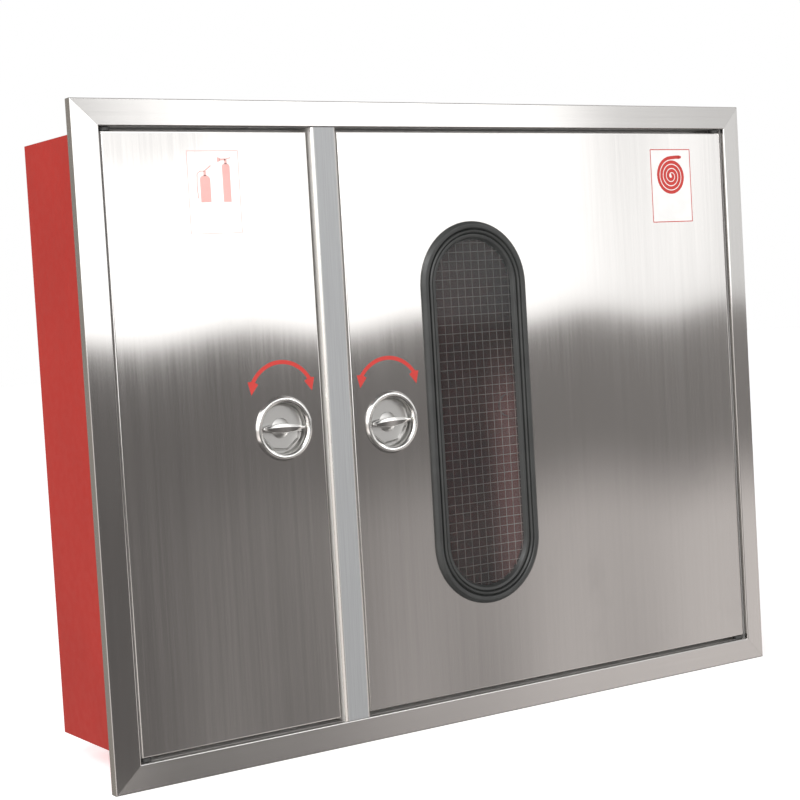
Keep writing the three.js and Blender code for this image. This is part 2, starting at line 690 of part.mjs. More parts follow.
// Cast elbow at the top of the riser, with a beaded socket each way.
function riserElbow() {
  const left = RISER_X - ELBOW_REACH;
  const low = REEL_Z - ELBOW_REACH;
  const outside = union(
    ball(RISER_X, FEED_Y, REEL_Z, SOCKET_R - 1.5),
    rodX(FEED_Y, REEL_Z, SOCKET_R - 1.5, [left + 2, RISER_X]),
    rodX(FEED_Y, REEL_Z, SOCKET_R + 1, [left, left + 8]),
    rodZ(RISER_X, FEED_Y, SOCKET_R - 1.5, [low + 2, REEL_Z]),
    rodZ(RISER_X, FEED_Y, SOCKET_R + 1, [low, low + 8]),
  );
  return outside
    .subtract(rodX(FEED_Y, REEL_Z, PIPE_R + GAP, [left - 1, left + ELBOW_SOCKET]))
    .subtract(rodX(FEED_Y, REEL_Z, PIPE_BORE_R, [left, RISER_X + 4]))
    .subtract(rodZ(RISER_X, FEED_Y, PIPE_R + GAP, [low - 1, low + ELBOW_SOCKET]))
    .subtract(rodZ(RISER_X, FEED_Y, PIPE_BORE_R, [low, REEL_Z + 4]));
}

const VALVE_HALF = 42;
const VALVE_SOCKET = 14;
const VALVE_BALL_R = 27;
const VALVE_HEX_R = 24;
const VALVE_HEX_T = 16;
const VALVE_NECK_R = 11;
const STEM_R = 5;
const STEM_NUT_R = 8.5;

// Quarter-turn ball valve: hexagon ends, round middle and a stem neck towards the doors.
function valveBody() {
  const high = VALVE_Z + VALVE_HALF;
  const low = VALVE_Z - VALVE_HALF;
  const outside = union(
    ball(RISER_X, FEED_Y, VALVE_Z, VALVE_BALL_R),
    rodZ(RISER_X, FEED_Y, VALVE_HEX_R - 4, [low + 4, high - 4]),
    rodZ(RISER_X, FEED_Y, VALVE_HEX_R, [high - VALVE_HEX_T, high], 6),
    rodZ(RISER_X, FEED_Y, VALVE_HEX_R, [low, low + VALVE_HEX_T], 6),
    rodY(RISER_X, VALVE_Z, VALVE_NECK_R, [FEED_Y - 36, FEED_Y - 10]),
  );
  const stemHole = rodY(RISER_X, VALVE_Z, STEM_R + GAP, [FEED_Y - 40, FEED_Y - 20]);
  const bore = rodZ(RISER_X, FEED_Y, PIPE_BORE_R - 2, [low - 1, high + 1]);
  const sockets = [[high - VALVE_SOCKET, high + 1], [low - 1, low + VALVE_SOCKET]];
  const body = outside.subtract(stemHole).subtract(bore);
  return sockets.reduce((rest, z) => rest.subtract(rodZ(RISER_X, FEED_Y, PIPE_R + GAP, z)), body);
}

const LEVER_Y = -198;
const LEVER_T = 3;
const LEVER_REACH = 104;       // from the stem to the centre of the lever's round end
const LEVER_HALF = 9;
const GRIP_FROM = 50;
const GRIP_HALF = 10.5;
const GRIP_T = 2.5;            // thickness of the sleeve on either side of the plate

function valveStem() {
  const stem = rodY(RISER_X, VALVE_Z, STEM_R, [LEVER_Y - 8, FEED_Y - 21]);
  return stem.add(rodY(RISER_X, VALVE_Z, STEM_NUT_R, [LEVER_Y - 6, LEVER_Y - GAP], 6));
}

// Lever across the pipe, which is the closed position. Its grip bends forward of the plate.
function valveLever() {
  const shape = new THREE.Shape();
  shape.absarc(0, 0, 12, -Math.PI / 2, Math.PI / 2);
  shape.lineTo(-30, LEVER_HALF);
  shape.lineTo(-LEVER_REACH, LEVER_HALF);
  shape.absarc(-LEVER_REACH, 0, LEVER_HALF, Math.PI / 2, 1.5 * Math.PI);
  shape.lineTo(-30, -LEVER_HALF);
  const plate = slab(shape, [LEVER_Y, LEVER_Y + LEVER_T], 12);
  const grip = new THREE.Shape();
  grip.absarc(-GRIP_FROM, 0, GRIP_HALF, -Math.PI / 2, Math.PI / 2);
  grip.lineTo(-LEVER_REACH, GRIP_HALF);
  grip.absarc(-LEVER_REACH, 0, GRIP_HALF, Math.PI / 2, 1.5 * Math.PI);
  const sleeve = slab(grip, [LEVER_Y - GRIP_T, LEVER_Y + LEVER_T + GRIP_T], 12);
  const hole = rodY(0, 0, STEM_R + GAP, [LEVER_Y - 1, LEVER_Y + LEVER_T + 1]);
  return plate.add(sleeve).subtract(hole).translate([RISER_X, 0, VALVE_Z]);
}

const CLIP_Z = [-112, -92];
const CLIP_T = 3;
const CLIP_ARM = 6;
const CLIP_FOOT = 28;

// Saddle that ties the riser to the side wall.
function pipeClip() {
  const z = CLIP_Z;
  const wall = BOX_X - BOX_SHEET - GAP;
  const arm = block([RISER_X, wall], [FEED_Y - CLIP_ARM, FEED_Y + CLIP_ARM], z);
  const band = rodZ(RISER_X, FEED_Y, PIPE_R + CLIP_T, z).add(arm);
  const foot = block([wall - CLIP_T, wall], [FEED_Y - CLIP_FOOT, FEED_Y + CLIP_FOOT], z);
  return band.add(foot).subtract(rodZ(RISER_X, FEED_Y, PIPE_R + GAP, [z[0] - 1, z[1] + 1]));
}

const GROMMET_R = 28;
const GROMMET_LIP = 4;

function grommet() {
  const waist = inletHoleR - GAP;
  const outline = [
    [PIPE_R + GAP, -GROMMET_LIP], [GROMMET_R, -GROMMET_LIP], [GROMMET_R, -GAP], [waist, -GAP],
    [waist, BOX_SHEET + GAP], [GROMMET_R, BOX_SHEET + GAP], [GROMMET_R, BOX_SHEET + GROMMET_LIP],
    [PIPE_R + GAP, BOX_SHEET + GROMMET_LIP],
  ];
  const geometry = revolveGeometry(outline, SIDES).rotateX(Math.PI / 2);
  return solid(geometry.translate(RISER_X, FEED_Y, -BOX_Z));
}

const axleOutline = [[PIPE_BORE_R, AXLE_FRONT], [PIPE_R, AXLE_FRONT], [PIPE_R, PANEL_BACK - BRACKET_T - GAP],
  [PIPE_BORE_R, PANEL_BACK - BRACKET_T - GAP]];
const feedSpan = [ELBOW_END_X + GAP, RISER_X - ELBOW_REACH + ELBOW_SOCKET - GAP];
const feedBore = [feedSpan[0] - 1, feedSpan[1] + 1];
const feedPipe = rodX(FEED_Y, REEL_Z, PIPE_R, feedSpan).subtract(rodX(FEED_Y, REEL_Z, PIPE_BORE_R, feedBore));
const riserLow = VALVE_Z + VALVE_HALF - VALVE_SOCKET + GAP;
const riserHigh = REEL_Z - ELBOW_REACH + ELBOW_SOCKET - GAP;
const inletHigh = VALVE_Z - VALVE_HALF + VALVE_SOCKET - GAP;

piece('reel_bracket', reelBracket(), zinc);
piece('reel_axle', atReel(revolve(axleOutline, SIDES)), zinc);
piece('hub_elbow', hubElbow(), redPaint);
piece('feed_pipe', feedPipe, redPaint);
piece('riser_elbow', riserElbow(), zinc);
piece('riser_pipe', pipeZ(RISER_X, FEED_Y, [riserLow, riserHigh]), redPaint);
piece('valve_body', valveBody(), brass);
piece('valve_stem', valveStem(), zinc);
piece('valve_lever', valveLever(), redPlastic);
piece('inlet_pipe', pipeZ(RISER_X, FEED_Y, [INLET_Z, inletHigh]), redPaint);
piece('inlet_grommet', grommet(), blackRubber);
piece('riser_clip', pipeClip(), zinc);

// ---------------------------------------------------------------- extinguisher hooks

const HOOK_Z = 150;
const HOOK_X = [-440, -285];
const HOOK_PLATE_HALF = 20;
const HOOK_ARM_HALF = 10;
const HOOK_REACH = 24;
const HOOK_T = 4;

// Wall plate with an upturned hook for the extinguisher's neck bracket.
function extinguisherHook(x) {
  const arms = [x - HOOK_ARM_HALF, x + HOOK_ARM_HALF];
  const front = PANEL_BACK - HOOK_REACH;
  const plateX = [x - HOOK_PLATE_HALF, x + HOOK_PLATE_HALF];
  const plate = block(plateX, [PANEL_BACK - 3, PANEL_BACK], [HOOK_Z - 45, HOOK_Z + 30]);
  const arm = block(arms, [front, PANEL_BACK - 2], [HOOK_Z - 12, HOOK_Z - 12 + HOOK_T]);
  const tip = block(arms, [front, front + HOOK_T], [HOOK_Z - 10, HOOK_Z + 10]);
  return union(plate, arm, tip);
}

piece('left_extinguisher_hook', extinguisherHook(HOOK_X[0]), zinc);
piece('right_extinguisher_hook', extinguisherHook(HOOK_X[1]), zinc);

export default cabinet;
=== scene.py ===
import json
import math

import bmesh
import bpy
from mathutils import Matrix, Vector

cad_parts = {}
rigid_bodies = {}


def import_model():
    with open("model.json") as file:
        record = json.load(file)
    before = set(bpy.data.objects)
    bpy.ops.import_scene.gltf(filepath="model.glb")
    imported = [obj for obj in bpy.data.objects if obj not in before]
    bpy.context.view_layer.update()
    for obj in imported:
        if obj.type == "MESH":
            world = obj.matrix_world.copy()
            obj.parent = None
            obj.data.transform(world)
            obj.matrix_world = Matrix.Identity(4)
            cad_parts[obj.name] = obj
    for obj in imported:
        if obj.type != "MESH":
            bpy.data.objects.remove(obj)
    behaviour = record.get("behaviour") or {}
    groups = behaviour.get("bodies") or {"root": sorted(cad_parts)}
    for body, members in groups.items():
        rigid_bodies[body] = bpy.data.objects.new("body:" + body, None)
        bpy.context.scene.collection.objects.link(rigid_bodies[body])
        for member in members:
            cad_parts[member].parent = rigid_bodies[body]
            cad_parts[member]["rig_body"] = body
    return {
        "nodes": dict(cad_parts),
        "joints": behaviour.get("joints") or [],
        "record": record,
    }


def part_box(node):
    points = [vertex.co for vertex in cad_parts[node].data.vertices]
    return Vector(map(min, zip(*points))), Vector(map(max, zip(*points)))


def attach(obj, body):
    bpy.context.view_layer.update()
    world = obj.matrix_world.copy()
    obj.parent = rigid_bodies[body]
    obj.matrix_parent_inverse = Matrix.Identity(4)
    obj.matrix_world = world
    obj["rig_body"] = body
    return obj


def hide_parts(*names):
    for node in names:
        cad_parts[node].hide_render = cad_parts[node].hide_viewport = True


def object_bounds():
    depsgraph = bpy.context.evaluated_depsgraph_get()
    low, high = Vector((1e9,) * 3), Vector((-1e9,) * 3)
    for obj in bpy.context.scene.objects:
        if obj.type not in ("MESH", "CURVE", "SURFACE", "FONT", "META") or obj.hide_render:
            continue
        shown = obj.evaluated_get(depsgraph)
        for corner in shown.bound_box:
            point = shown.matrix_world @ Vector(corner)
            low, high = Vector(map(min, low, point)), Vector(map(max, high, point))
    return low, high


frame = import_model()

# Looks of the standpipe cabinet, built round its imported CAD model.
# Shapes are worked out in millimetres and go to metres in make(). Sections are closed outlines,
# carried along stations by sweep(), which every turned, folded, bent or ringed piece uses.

cad_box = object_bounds()
MM = 0.001
X, Y, Z = Vector((1, 0, 0)), Vector((0, 1, 0)), Vector((0, 0, 1))
NODES = frame["nodes"]
SLOT_OF = {part["node"]: part["material_slot"] for part in frame["record"]["subparts"]}


def span(node):
    """Lowest and highest corner of a CAD node, in millimetres."""
    low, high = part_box(node)
    return low / MM, high / MM


def middle(node):
    low, high = span(node)
    return (low + high) / 2


# ---------------------------------------------------------------- camera

CAMERA_AT = (-1.4542, -2.3008, 0.1618)
YAW, PITCH, ROLL = 33.28, 3.13, -3.35
LENS, SENSOR = 80.677, 36


def camera():
    yaw, pitch, roll = (math.radians(a) for a in (YAW, PITCH, ROLL))
    level_ahead = Vector((math.sin(yaw), math.cos(yaw), 0))
    level_right = Vector((math.cos(yaw), -math.sin(yaw), 0))
    ahead = level_ahead * math.cos(pitch) - Z * math.sin(pitch)
    level_up = level_ahead * math.sin(pitch) + Z * math.cos(pitch)
    right = level_right * math.cos(roll) + level_up * math.sin(roll)
    up = level_up * math.cos(roll) - level_right * math.sin(roll)
    eye = bpy.data.objects.new("camera", bpy.data.cameras.new("camera"))
    eye.data.lens = LENS
    eye.data.sensor_width = SENSOR
    eye.matrix_world = Matrix.Translation(CAMERA_AT) @ Matrix((right, up, -ahead)).transposed().to_4x4()
    bpy.context.scene.collection.objects.link(eye)
    bpy.context.scene.camera = eye


# ---------------------------------------------------------------- node graphs

class Graph:
    """Short calls for adding nodes to one tree."""

    def __init__(self, tree):
        self.tree = tree
        tree.nodes.clear()

    def add(self, kind, inputs=(), **settings):
        node = self.tree.nodes.new(kind)
        for key, value in settings.items():
            setattr(node, key, value)
        for key, value in dict(inputs).items():
            if isinstance(value, bpy.types.NodeSocket):
                self.tree.links.new(value, node.inputs[key])
            else:
                node.inputs[key].default_value = value
        return node

    def maths(self, operation, *values):
        return self.add("ShaderNodeMath", dict(enumerate(values)), operation=operation).outputs[0]

    def ramp(self, value, start, end, low=0.0, high=1.0):
        """Smooth step of value, from low at start to high at end."""
        inputs = {"Value": value, 1: start, 2: end, 3: low, 4: high}
        return self.add("ShaderNodeMapRange", inputs, interpolation_type="SMOOTHSTEP").outputs[0]

    def mix(self, share, low, high):
        """Colour between low and high."""
        return self.add("ShaderNodeMix", {0: share, 6: low, 7: high}, data_type="RGBA").outputs[2]

    def blend(self, share, low, high):
        """Number between low and high."""
        return self.add("ShaderNodeMix", {0: share, 2: low, 3: high}).outputs[0]

    def place(self):
        """Sockets for X, Y and Z of the piece, in metres."""
        way = self.add("ShaderNodeTexCoord").outputs["Object"]
        return self.add("ShaderNodeSeparateXYZ", {0: way}).outputs

    def noise(self, stretch, detail=2.0, roughness=0.5, offset=0.0):
        """Noise with this many features per metre along X, Y and Z of the piece."""
        place = self.add("ShaderNodeTexCoord").outputs["Object"]
        inputs = {"Vector": place, "Scale": stretch, "Location": (offset, offset, offset)}
        mapping = self.add("ShaderNodeMapping", inputs)
        inputs = {"Vector": mapping.outputs[0], "Scale": 1.0, "Detail": detail, "Roughness": roughness}
        return self.add("ShaderNodeTexNoise", inputs).outputs[0]

    def bump(self, height, distance, under=None):
        inputs = {"Height": height, "Distance": distance, "Strength": 1.0}
        if under is not None:
            inputs["Normal"] = under
        return self.add("ShaderNodeBump", inputs).outputs[0]


def colour(red, green, blue):
    return (red, green, blue, 1.0)


def scaled(rgb, factor):
    return colour(*(min(1.0, c * factor) for c in rgb))


def surface(name, base, rough, metallic=0.0, normal=None, **sockets):
    """A Principled material. base and rough are functions of its graph that give a socket."""
    mat = bpy.data.materials.new(name)
    mat.use_nodes = True
    graph = Graph(mat.node_tree)
    inputs = {"Base Color": base(graph), "Roughness": rough(graph),
              "Metallic": metallic(graph) if callable(metallic) else metallic}
    if normal:
        inputs["Normal"] = normal(graph)
    for key, value in sockets.items():
        inputs[key.replace("_", " ")] = value(graph) if callable(value) else value
    shader = graph.add("ShaderNodeBsdfPrincipled", inputs)
    graph.add("ShaderNodeOutputMaterial", {"Surface": shader.outputs[0]})
    return mat


def blotched(rgb, low, high, stretch, detail=3.0, edge=(0.35, 0.65)):
    """Base colour that wanders between two shades of rgb."""
    def base(graph):
        share = graph.ramp(graph.noise(stretch, detail), *edge)
        return graph.mix(share, scaled(rgb, low), scaled(rgb, high))
    return base


def wandering(low, high, stretch, detail=3.0):
    """Roughness that wanders between two values."""
    def rough(graph):
        return graph.ramp(graph.noise(stretch, detail, offset=3.7), 0.3, 0.7, low, high)
    return rough


def relief(stretch, depth, detail=2.0):
    def normal(graph):
        return graph.bump(graph.noise(stretch, detail), depth)
    return normal


def shaded_in_recess(rgb, deep, stretch):
    """Base colour with painted shade: darker below the rim of a recess in a door."""
    def base(graph):
        depth = graph.place()[1]
        # Painted shade: parts deeper than the door's face get the darker colour.
        share = graph.ramp(depth, -0.2385, -0.2325)
        spots = graph.ramp(graph.noise(stretch, 3.0), 0.35, 0.65)
        return graph.mix(share, graph.mix(spots, scaled(rgb, 0.95), scaled(rgb, 1.03)), scaled(rgb, deep))
    return base


def deepening(front, deep):
    """Roughness that grows below the rim of a recess in a door."""
    def rough(graph):
        depth = graph.place()[1]
        wander = graph.ramp(graph.noise((60, 60, 60), 3.0), 0.3, 0.7, -0.02, 0.02)
        return graph.maths("ADD", wander, graph.ramp(depth, -0.2405, -0.2365, front, deep))
    return rough


STEEL = (0.63, 0.615, 0.60)
RETURN_FROM = -0.2385    # depth in metres behind which a sheet's folded returns begin
WAVE_LENGTH = 0.29    # metres from crest to crest of the slow waves in the sheet


def brushed(name, along, rough, waves, anisotropic=0.9, tone=1.0, metallic=1.0):
    """Stainless sheet with its grain along Z or X, faint smears and a slightly wavy surface."""
    def stretched(across, length):
        return (across, across, length) if along == "Z" else (length, across, across)

    def grain(graph):
        fine = graph.noise(stretched(900, 9), 3.0, 0.7)
        broad = graph.noise(stretched(170, 1.6), 4.0, 0.6, offset=1.3)
        return graph.maths("ADD", graph.maths("MULTIPLY", fine, 0.5), graph.maths("MULTIPLY", broad, 0.5))

    def smear(graph):
        return graph.ramp(graph.noise((11, 11, 7), 5.0, 0.65, offset=8.1), 0.52, 0.8)

    def base(graph):
        streaks = graph.ramp(grain(graph), 0.3, 0.7)
        plain = graph.mix(streaks, scaled(STEEL, 0.965 * tone), scaled(STEEL, 1.03 * tone))
        return graph.mix(graph.maths("MULTIPLY", smear(graph), 0.3), plain, scaled(STEEL, 0.88 * tone))

    def roughness(graph):
        wander = graph.ramp(grain(graph), 0.3, 0.7, rough - 0.012, rough + 0.012)
        return graph.maths("ADD", wander, graph.maths("MULTIPLY", smear(graph), 0.02))

    def normal(graph):
        parts = graph.place()
        turns = graph.maths("MULTIPLY", graph.maths("ADD", parts[0], 0.34), 2 * math.pi / WAVE_LENGTH)
        twist = graph.maths("MULTIPLY", graph.maths("COSINE", turns), parts[2])
        bowed = graph.bump(twist, waves)
        sheet = graph.bump(graph.noise((5.5, 5.5, 2.6), 1.0, 0.4, offset=5.0), waves * 0.08, bowed)
        return graph.bump(graph.noise(stretched(420, 5), 2.0), 0.0000006, sheet)

    def tangent(graph):
        return graph.add("ShaderNodeCombineXYZ", {"X": 0.013, "Y": 0.021, "Z": 1.0}).outputs[0]

    def metal(graph):
        """Bare metal in front. Folded returns and the back are a duller mill finish."""
        parts = graph.place()
        outer_lip = graph.ramp(graph.maths("ABSOLUTE", parts[0]), 0.5575, 0.5585, 0.0, metallic)
        front = graph.ramp(parts[1], RETURN_FROM, RETURN_FROM + 0.0015, metallic, 0.2)
        return graph.maths("MAXIMUM", front, outer_lip)

    turn = 0.25 if along == "Z" else 0.0
    return surface(name, base, roughness, metal, normal, Anisotropic=anisotropic,
                   Anisotropic_Rotation=turn, Tangent=tangent)


def mullion_metal():
    """Matt cover with a painted highlight: its rounded edges are much lighter, more metallic and smoother than the
    middle.
    """
    def edge(graph):
        across = graph.place()[0]
        offset = graph.maths("ABSOLUTE", graph.maths("SUBTRACT", across, middle("mullion").x * MM))
        return graph.ramp(offset, 0.0145, 0.0175)

    def base(graph):
        streaks = graph.ramp(graph.noise((600, 600, 8), 3.0), 0.3, 0.7)
        # Painted highlight: the rounded edges get a much lighter colour than the matt middle.
        return graph.mix(edge(graph), graph.mix(streaks, colour(0.33, 0.335, 0.34), colour(0.37, 0.375, 0.38)),
                         colour(0.70, 0.68, 0.65))

    def metal(graph):
        depth = graph.place()[1]
        front = graph.ramp(edge(graph), 0, 1, 0.35, 1.0)
        return graph.maths("MULTIPLY", front, graph.ramp(depth, -0.2425, -0.2405, 1.0, 0.2))

    return surface("mullion_metal", base, lambda graph: graph.ramp(edge(graph), 0, 1, 0.42, 0.22),
                   metal, relief((500, 500, 8), 0.000004))


def wired_glass():
    """Dusty grey glass with a painted light patch: clearer and warmer to the lower right, where the reel behind
    shows lit. Lamps shine through it onto the reel.
    """
    pane = middle("window_glass") * MM

    def tint(graph):
        parts = graph.place()
        # Painted light: this mask makes the lower right of the pane clearer and warmer, as if lit reel showed
        # through, and leaves the rest dark grey.
        share = graph.maths("MULTIPLY", graph.ramp(parts[0], pane.x - 0.005, pane.x + 0.055),
                            graph.ramp(parts[2], pane.z + 0.12, pane.z - 0.02))
        dust = graph.ramp(graph.noise((9, 9, 9), 3.0), 0.35, 0.65)
        return graph.mix(share, graph.mix(dust, colour(0.21, 0.215, 0.215), colour(0.25, 0.25, 0.245)),
                         colour(0.56, 0.47, 0.46))

    mat = surface("wired_glass", tint, wandering(0.0, 0.05, (14, 14, 14)), IOR=1.22, Transmission_Weight=0.9)
    tree = mat.node_tree
    glass = next(n for n in tree.nodes if n.type == "BSDF_PRINCIPLED")
    out = next(n for n in tree.nodes if n.type == "OUTPUT_MATERIAL")
    path = tree.nodes.new("ShaderNodeLightPath")
    clear = tree.nodes.new("ShaderNodeBsdfTransparent")
    clear.inputs[0].default_value = colour(0.3, 0.3, 0.3)
    mixed = tree.nodes.new("ShaderNodeMixShader")
    tree.links.new(path.outputs["Is Shadow Ray"], mixed.inputs[0])
    tree.links.new(glass.outputs[0], mixed.inputs[1])
    tree.links.new(clear.outputs[0], mixed.inputs[2])
    tree.links.new(mixed.outputs[0], out.inputs[0])
    return mat


def print_ink(name, rgb, rough=0.4):
    return surface(name, blotched(rgb, 0.97, 1.02, (60, 60, 60)), wandering(rough, rough + 0.1, (90, 90, 90)))


MATERIALS = {
    "stainless": brushed("stainless_upright_grain", "Z", 0.135, 0.0019, 1.0),
    "stainless_level": brushed("stainless_level_grain", "X", 0.16, 0.0004, 1.0),
    "stainless_dull": mullion_metal(),
    "red_paint": surface("red_paint", blotched((0.415, 0.023, 0.016), 0.96, 1.03, (7, 7, 5)),
                         wandering(0.36, 0.5, (60, 60, 60)), normal=relief((620, 620, 620), 0.00002, 1.0),
                         Specular_IOR_Level=0.3),
    "chrome": surface("chrome", shaded_in_recess((0.78, 0.77, 0.75), 0.60, (60, 60, 60)),
                      deepening(0.17, 0.38), 1.0, relief((60, 60, 60), 0.00001)),
    "zinc_steel": surface("zinc_steel", blotched((0.52, 0.53, 0.55), 0.78, 1.1, (120, 120, 120), 4.0),
                          wandering(0.3, 0.46, (160, 160, 160)), 1.0, relief((300, 300, 300), 0.00002)),
    "brass": surface("brass", blotched((0.60, 0.42, 0.17), 0.8, 1.08, (110, 110, 110), 4.0),
                     wandering(0.26, 0.42, (200, 200, 200)), 1.0, relief((420, 420, 420), 0.00005)),
    "black_rubber": surface("black_rubber", blotched((0.030, 0.031, 0.030), 0.85, 1.15, (26, 26, 26)),
                            wandering(0.36, 0.5, (70, 70, 70)), normal=relief((520, 520, 520), 0.00003)),
    "hose_rubber": surface("hose_rubber", blotched((0.018, 0.018, 0.019), 0.7, 1.5, (45, 45, 45), 4.0),
                           wandering(0.5, 0.68, (90, 90, 90)), normal=relief((700, 700, 700), 0.00006)),
    "nylon": surface("nylon", blotched((0.045, 0.045, 0.043), 0.9, 1.1, (90, 90, 90)),
                     wandering(0.4, 0.52, (150, 150, 150)), normal=relief((500, 500, 500), 0.00002)),
    "black_plastic": surface("black_plastic", blotched((0.020, 0.020, 0.022), 0.85, 1.25, (80, 80, 80)),
                             wandering(0.34, 0.48, (120, 120, 120)), normal=relief((900, 900, 900), 0.00002)),
    "red_plastic": surface("red_plastic", blotched((0.56, 0.030, 0.018), 0.92, 1.05, (60, 60, 60)),
                           wandering(0.28, 0.4, (120, 120, 120)), normal=relief((700, 700, 700), 0.00002)),
    "wired_glass": wired_glass(),
    "red_ink": print_ink("red_ink", (0.54, 0.036, 0.028)),
    "faded_ink": print_ink("faded_ink", (0.80, 0.44, 0.41), 0.3),
    "white_film": print_ink("white_film", (0.88, 0.87, 0.85)),
    "wire": surface("window_wire", blotched((0.44, 0.37, 0.35), 0.8, 1.1, (160, 160, 160)),
                    wandering(0.4, 0.55, (200, 200, 200)), 0.3),
}


# ---------------------------------------------------------------- shapes

def fillet(path, radius, steps=6):
    """An open path with its inner corners turned into arcs."""
    out = [Vector(path[0])]
    for before, corner, after in zip(path, path[1:], path[2:]):
        corner = Vector(corner)
        a, b = Vector(before) - corner, Vector(after) - corner
        half = a.angle(b) / 2
        reach = min(radius / math.tan(half), a.length * 0.49, b.length * 0.49)
        a, b = a.normalized(), b.normalized()
        centre = corner + (a + b).normalized() * (reach / math.cos(half))
        start, end = corner + a * reach - centre, corner + b * reach - centre
        turn = start.angle(end)
        for i in range(steps + 1):
            t = i / steps
            arc = start * math.sin((1 - t) * turn) + end * math.sin(t * turn)
            out.append(centre + arc / math.sin(turn))
    out.append(Vector(path[-1]))
    return out


def folded(path, thickness):
    """Section of a bent sheet that lies to the left of an open path."""
    path = [Vector(p) for p in path]
    other = []
    for i, point in enumerate(path):
        ways = []
        if i > 0:
            ways.append((point - path[i - 1]).normalized())
        if i < len(path) - 1:
            ways.append((path[i + 1] - point).normalized())
        total = Vector((-sum(w.y for w in ways), sum(w.x for w in ways)))
        other.append(point + total * (thickness * len(ways) / total.length_squared))
    return path + other[::-1]


def sweep(section, stations, loop=False):
    """Skins a closed section [(a, b)] carried along stations [(origin, A, B)]. Open ends are capped.
    The section may also be a function that gives the outline of station number i."""
    outline = section if callable(section) else (lambda i: section)
    verts = [o + a_way * a + b_way * b for i, (o, a_way, b_way) in enumerate(stations) for a, b in outline(i)]
    n, count = len(outline(0)), len(stations)
    faces = []
    for i in range(count if loop else count - 1):
        j = (i + 1) % count
        for k in range(n):
            m = (k + 1) % n
            faces.append((i * n + k, i * n + m, j * n + m, j * n + k))
    if not loop:
        faces += [tuple(range(n)), tuple(range((count - 1) * n, count * n))]
    return verts, faces


def spokes(axis):
    """Two directions square to an axis."""
    first = Y.cross(axis) if abs(axis.y) < 0.5 else X - axis * axis.x
    first.normalize()
    return first, axis.cross(first)


def turned(outline, at, axis=Y, sides=64):
    """Turns an outline of [radius, height] about an axis. It may be a function of the angle."""
    first, second = spokes(axis)
    angles = [2 * math.pi * i / sides for i in range(sides)]
    stations = [(Vector(at), first * math.cos(a) + second * math.sin(a), axis) for a in angles]
    section = (lambda i: outline(angles[i])) if callable(outline) else outline
    return sweep(section, stations, loop=True)


def disc_section(radius, sides=16):
    return [(radius * math.cos(2 * math.pi * i / sides), radius * math.sin(2 * math.pi * i / sides))
            for i in range(sides)]


def rounded_rectangle(half_a, half_b, radius, steps=5):
    points = []
    for quarter, (sa, sb) in enumerate([(1, 1), (-1, 1), (-1, -1), (1, -1)]):
        for i in range(steps + 1):
            angle = math.pi / 2 * (quarter + i / steps)
            points.append((sa * (half_a - radius) + radius * math.cos(angle),
                           sb * (half_b - radius) + radius * math.sin(angle)))
    return points


def joined(*shapes):
    verts, faces = [], []
    for more_verts, more_faces in shapes:
        start = len(verts)
        verts += more_verts
        faces += [tuple(start + i for i in face) for face in more_faces]
    return verts, faces


def shade(piece, angle):
    """Smooth shading with edges sharper than angle kept, weighted so that flat faces stay flat."""
    mesh = piece.data
    mesh.shade_smooth()
    mesh.set_sharp_from_angle(angle=math.radians(angle))
    weighted = piece.modifiers.new("even_normals", "WEIGHTED_NORMAL")
    weighted.keep_sharp = True


def make(name, shape, *nodes, material=None, slot=None, body=None, bevel=0.0, angle=38):
    """Makes a piece that stands for CAD nodes. Its body comes from the first node, and its material from the first
    node's slot, unless they are given.
    """
    verts, faces = shape
    mesh = bpy.data.meshes.new(name)
    mesh.from_pydata([v * MM for v in verts], [], faces)
    grid = bmesh.new()
    grid.from_mesh(mesh)
    bmesh.ops.remove_doubles(grid, verts=grid.verts, dist=0.00001)
    bmesh.ops.recalc_face_normals(grid, faces=grid.faces)
    grid.to_mesh(mesh)
    grid.free()
    return place(name, mesh, nodes, material, slot, body, bevel, angle)


def place(name, mesh, nodes, material=None, slot=None, body=None, bevel=0.0, angle=38):
    piece = bpy.data.objects.new(name, mesh)
    bpy.context.scene.collection.objects.link(piece)
    slot = slot or SLOT_OF[nodes[0]]
    mesh.materials.clear()
    mesh.materials.append(MATERIALS[material or slot])
    if bevel:
        edge = piece.modifiers.new("soft_edges", "BEVEL")
        edge.width = bevel * MM
        edge.segments = 2
        edge.limit_method = "ANGLE"
        edge.angle_limit = math.radians(40)
    shade(piece, angle)
    if nodes:
        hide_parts(*nodes)
    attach(piece, body or NODES[nodes[0]]["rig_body"])
    return piece


def refined(node, bevel=0.4, material=None, angle=38):
    """A CAD node's own shape with its facets merged and its edges softened."""
    grid = bmesh.new()
    grid.from_mesh(NODES[node].data)
    bmesh.ops.remove_doubles(grid, verts=grid.verts, dist=0.000005)
    bmesh.ops.dissolve_limit(grid, angle_limit=math.radians(0.5), verts=grid.verts, edges=grid.edges)
    mesh = bpy.data.meshes.new(node + "_shell")
    grid.to_mesh(mesh)
    grid.free()
    return place(node + "_shell", mesh, (node,), material, bevel=bevel, angle=angle)


def hexed(radius, angle):
    """Radius of a hexagon, at an angle round it, that measures radius to its corners."""
    return radius * math.cos(math.pi / 6) / math.cos(angle % (math.pi / 3) - math.pi / 6)


def button_screw(at, axis, radius):
    """Low domed screw head with a hexagon socket. Its underside is at at."""
    def outline(angle):
        socket = hexed(radius * 0.46, angle)
        return [(0, radius * 0.16), (socket, radius * 0.16), (socket, radius * 0.5), (radius * 0.7, radius * 0.46),
                (radius * 0.93, radius * 0.26), (radius, radius * 0.08), (radius, -0.2), (0, -0.2)]
    return turned(outline, at, axis, 24)


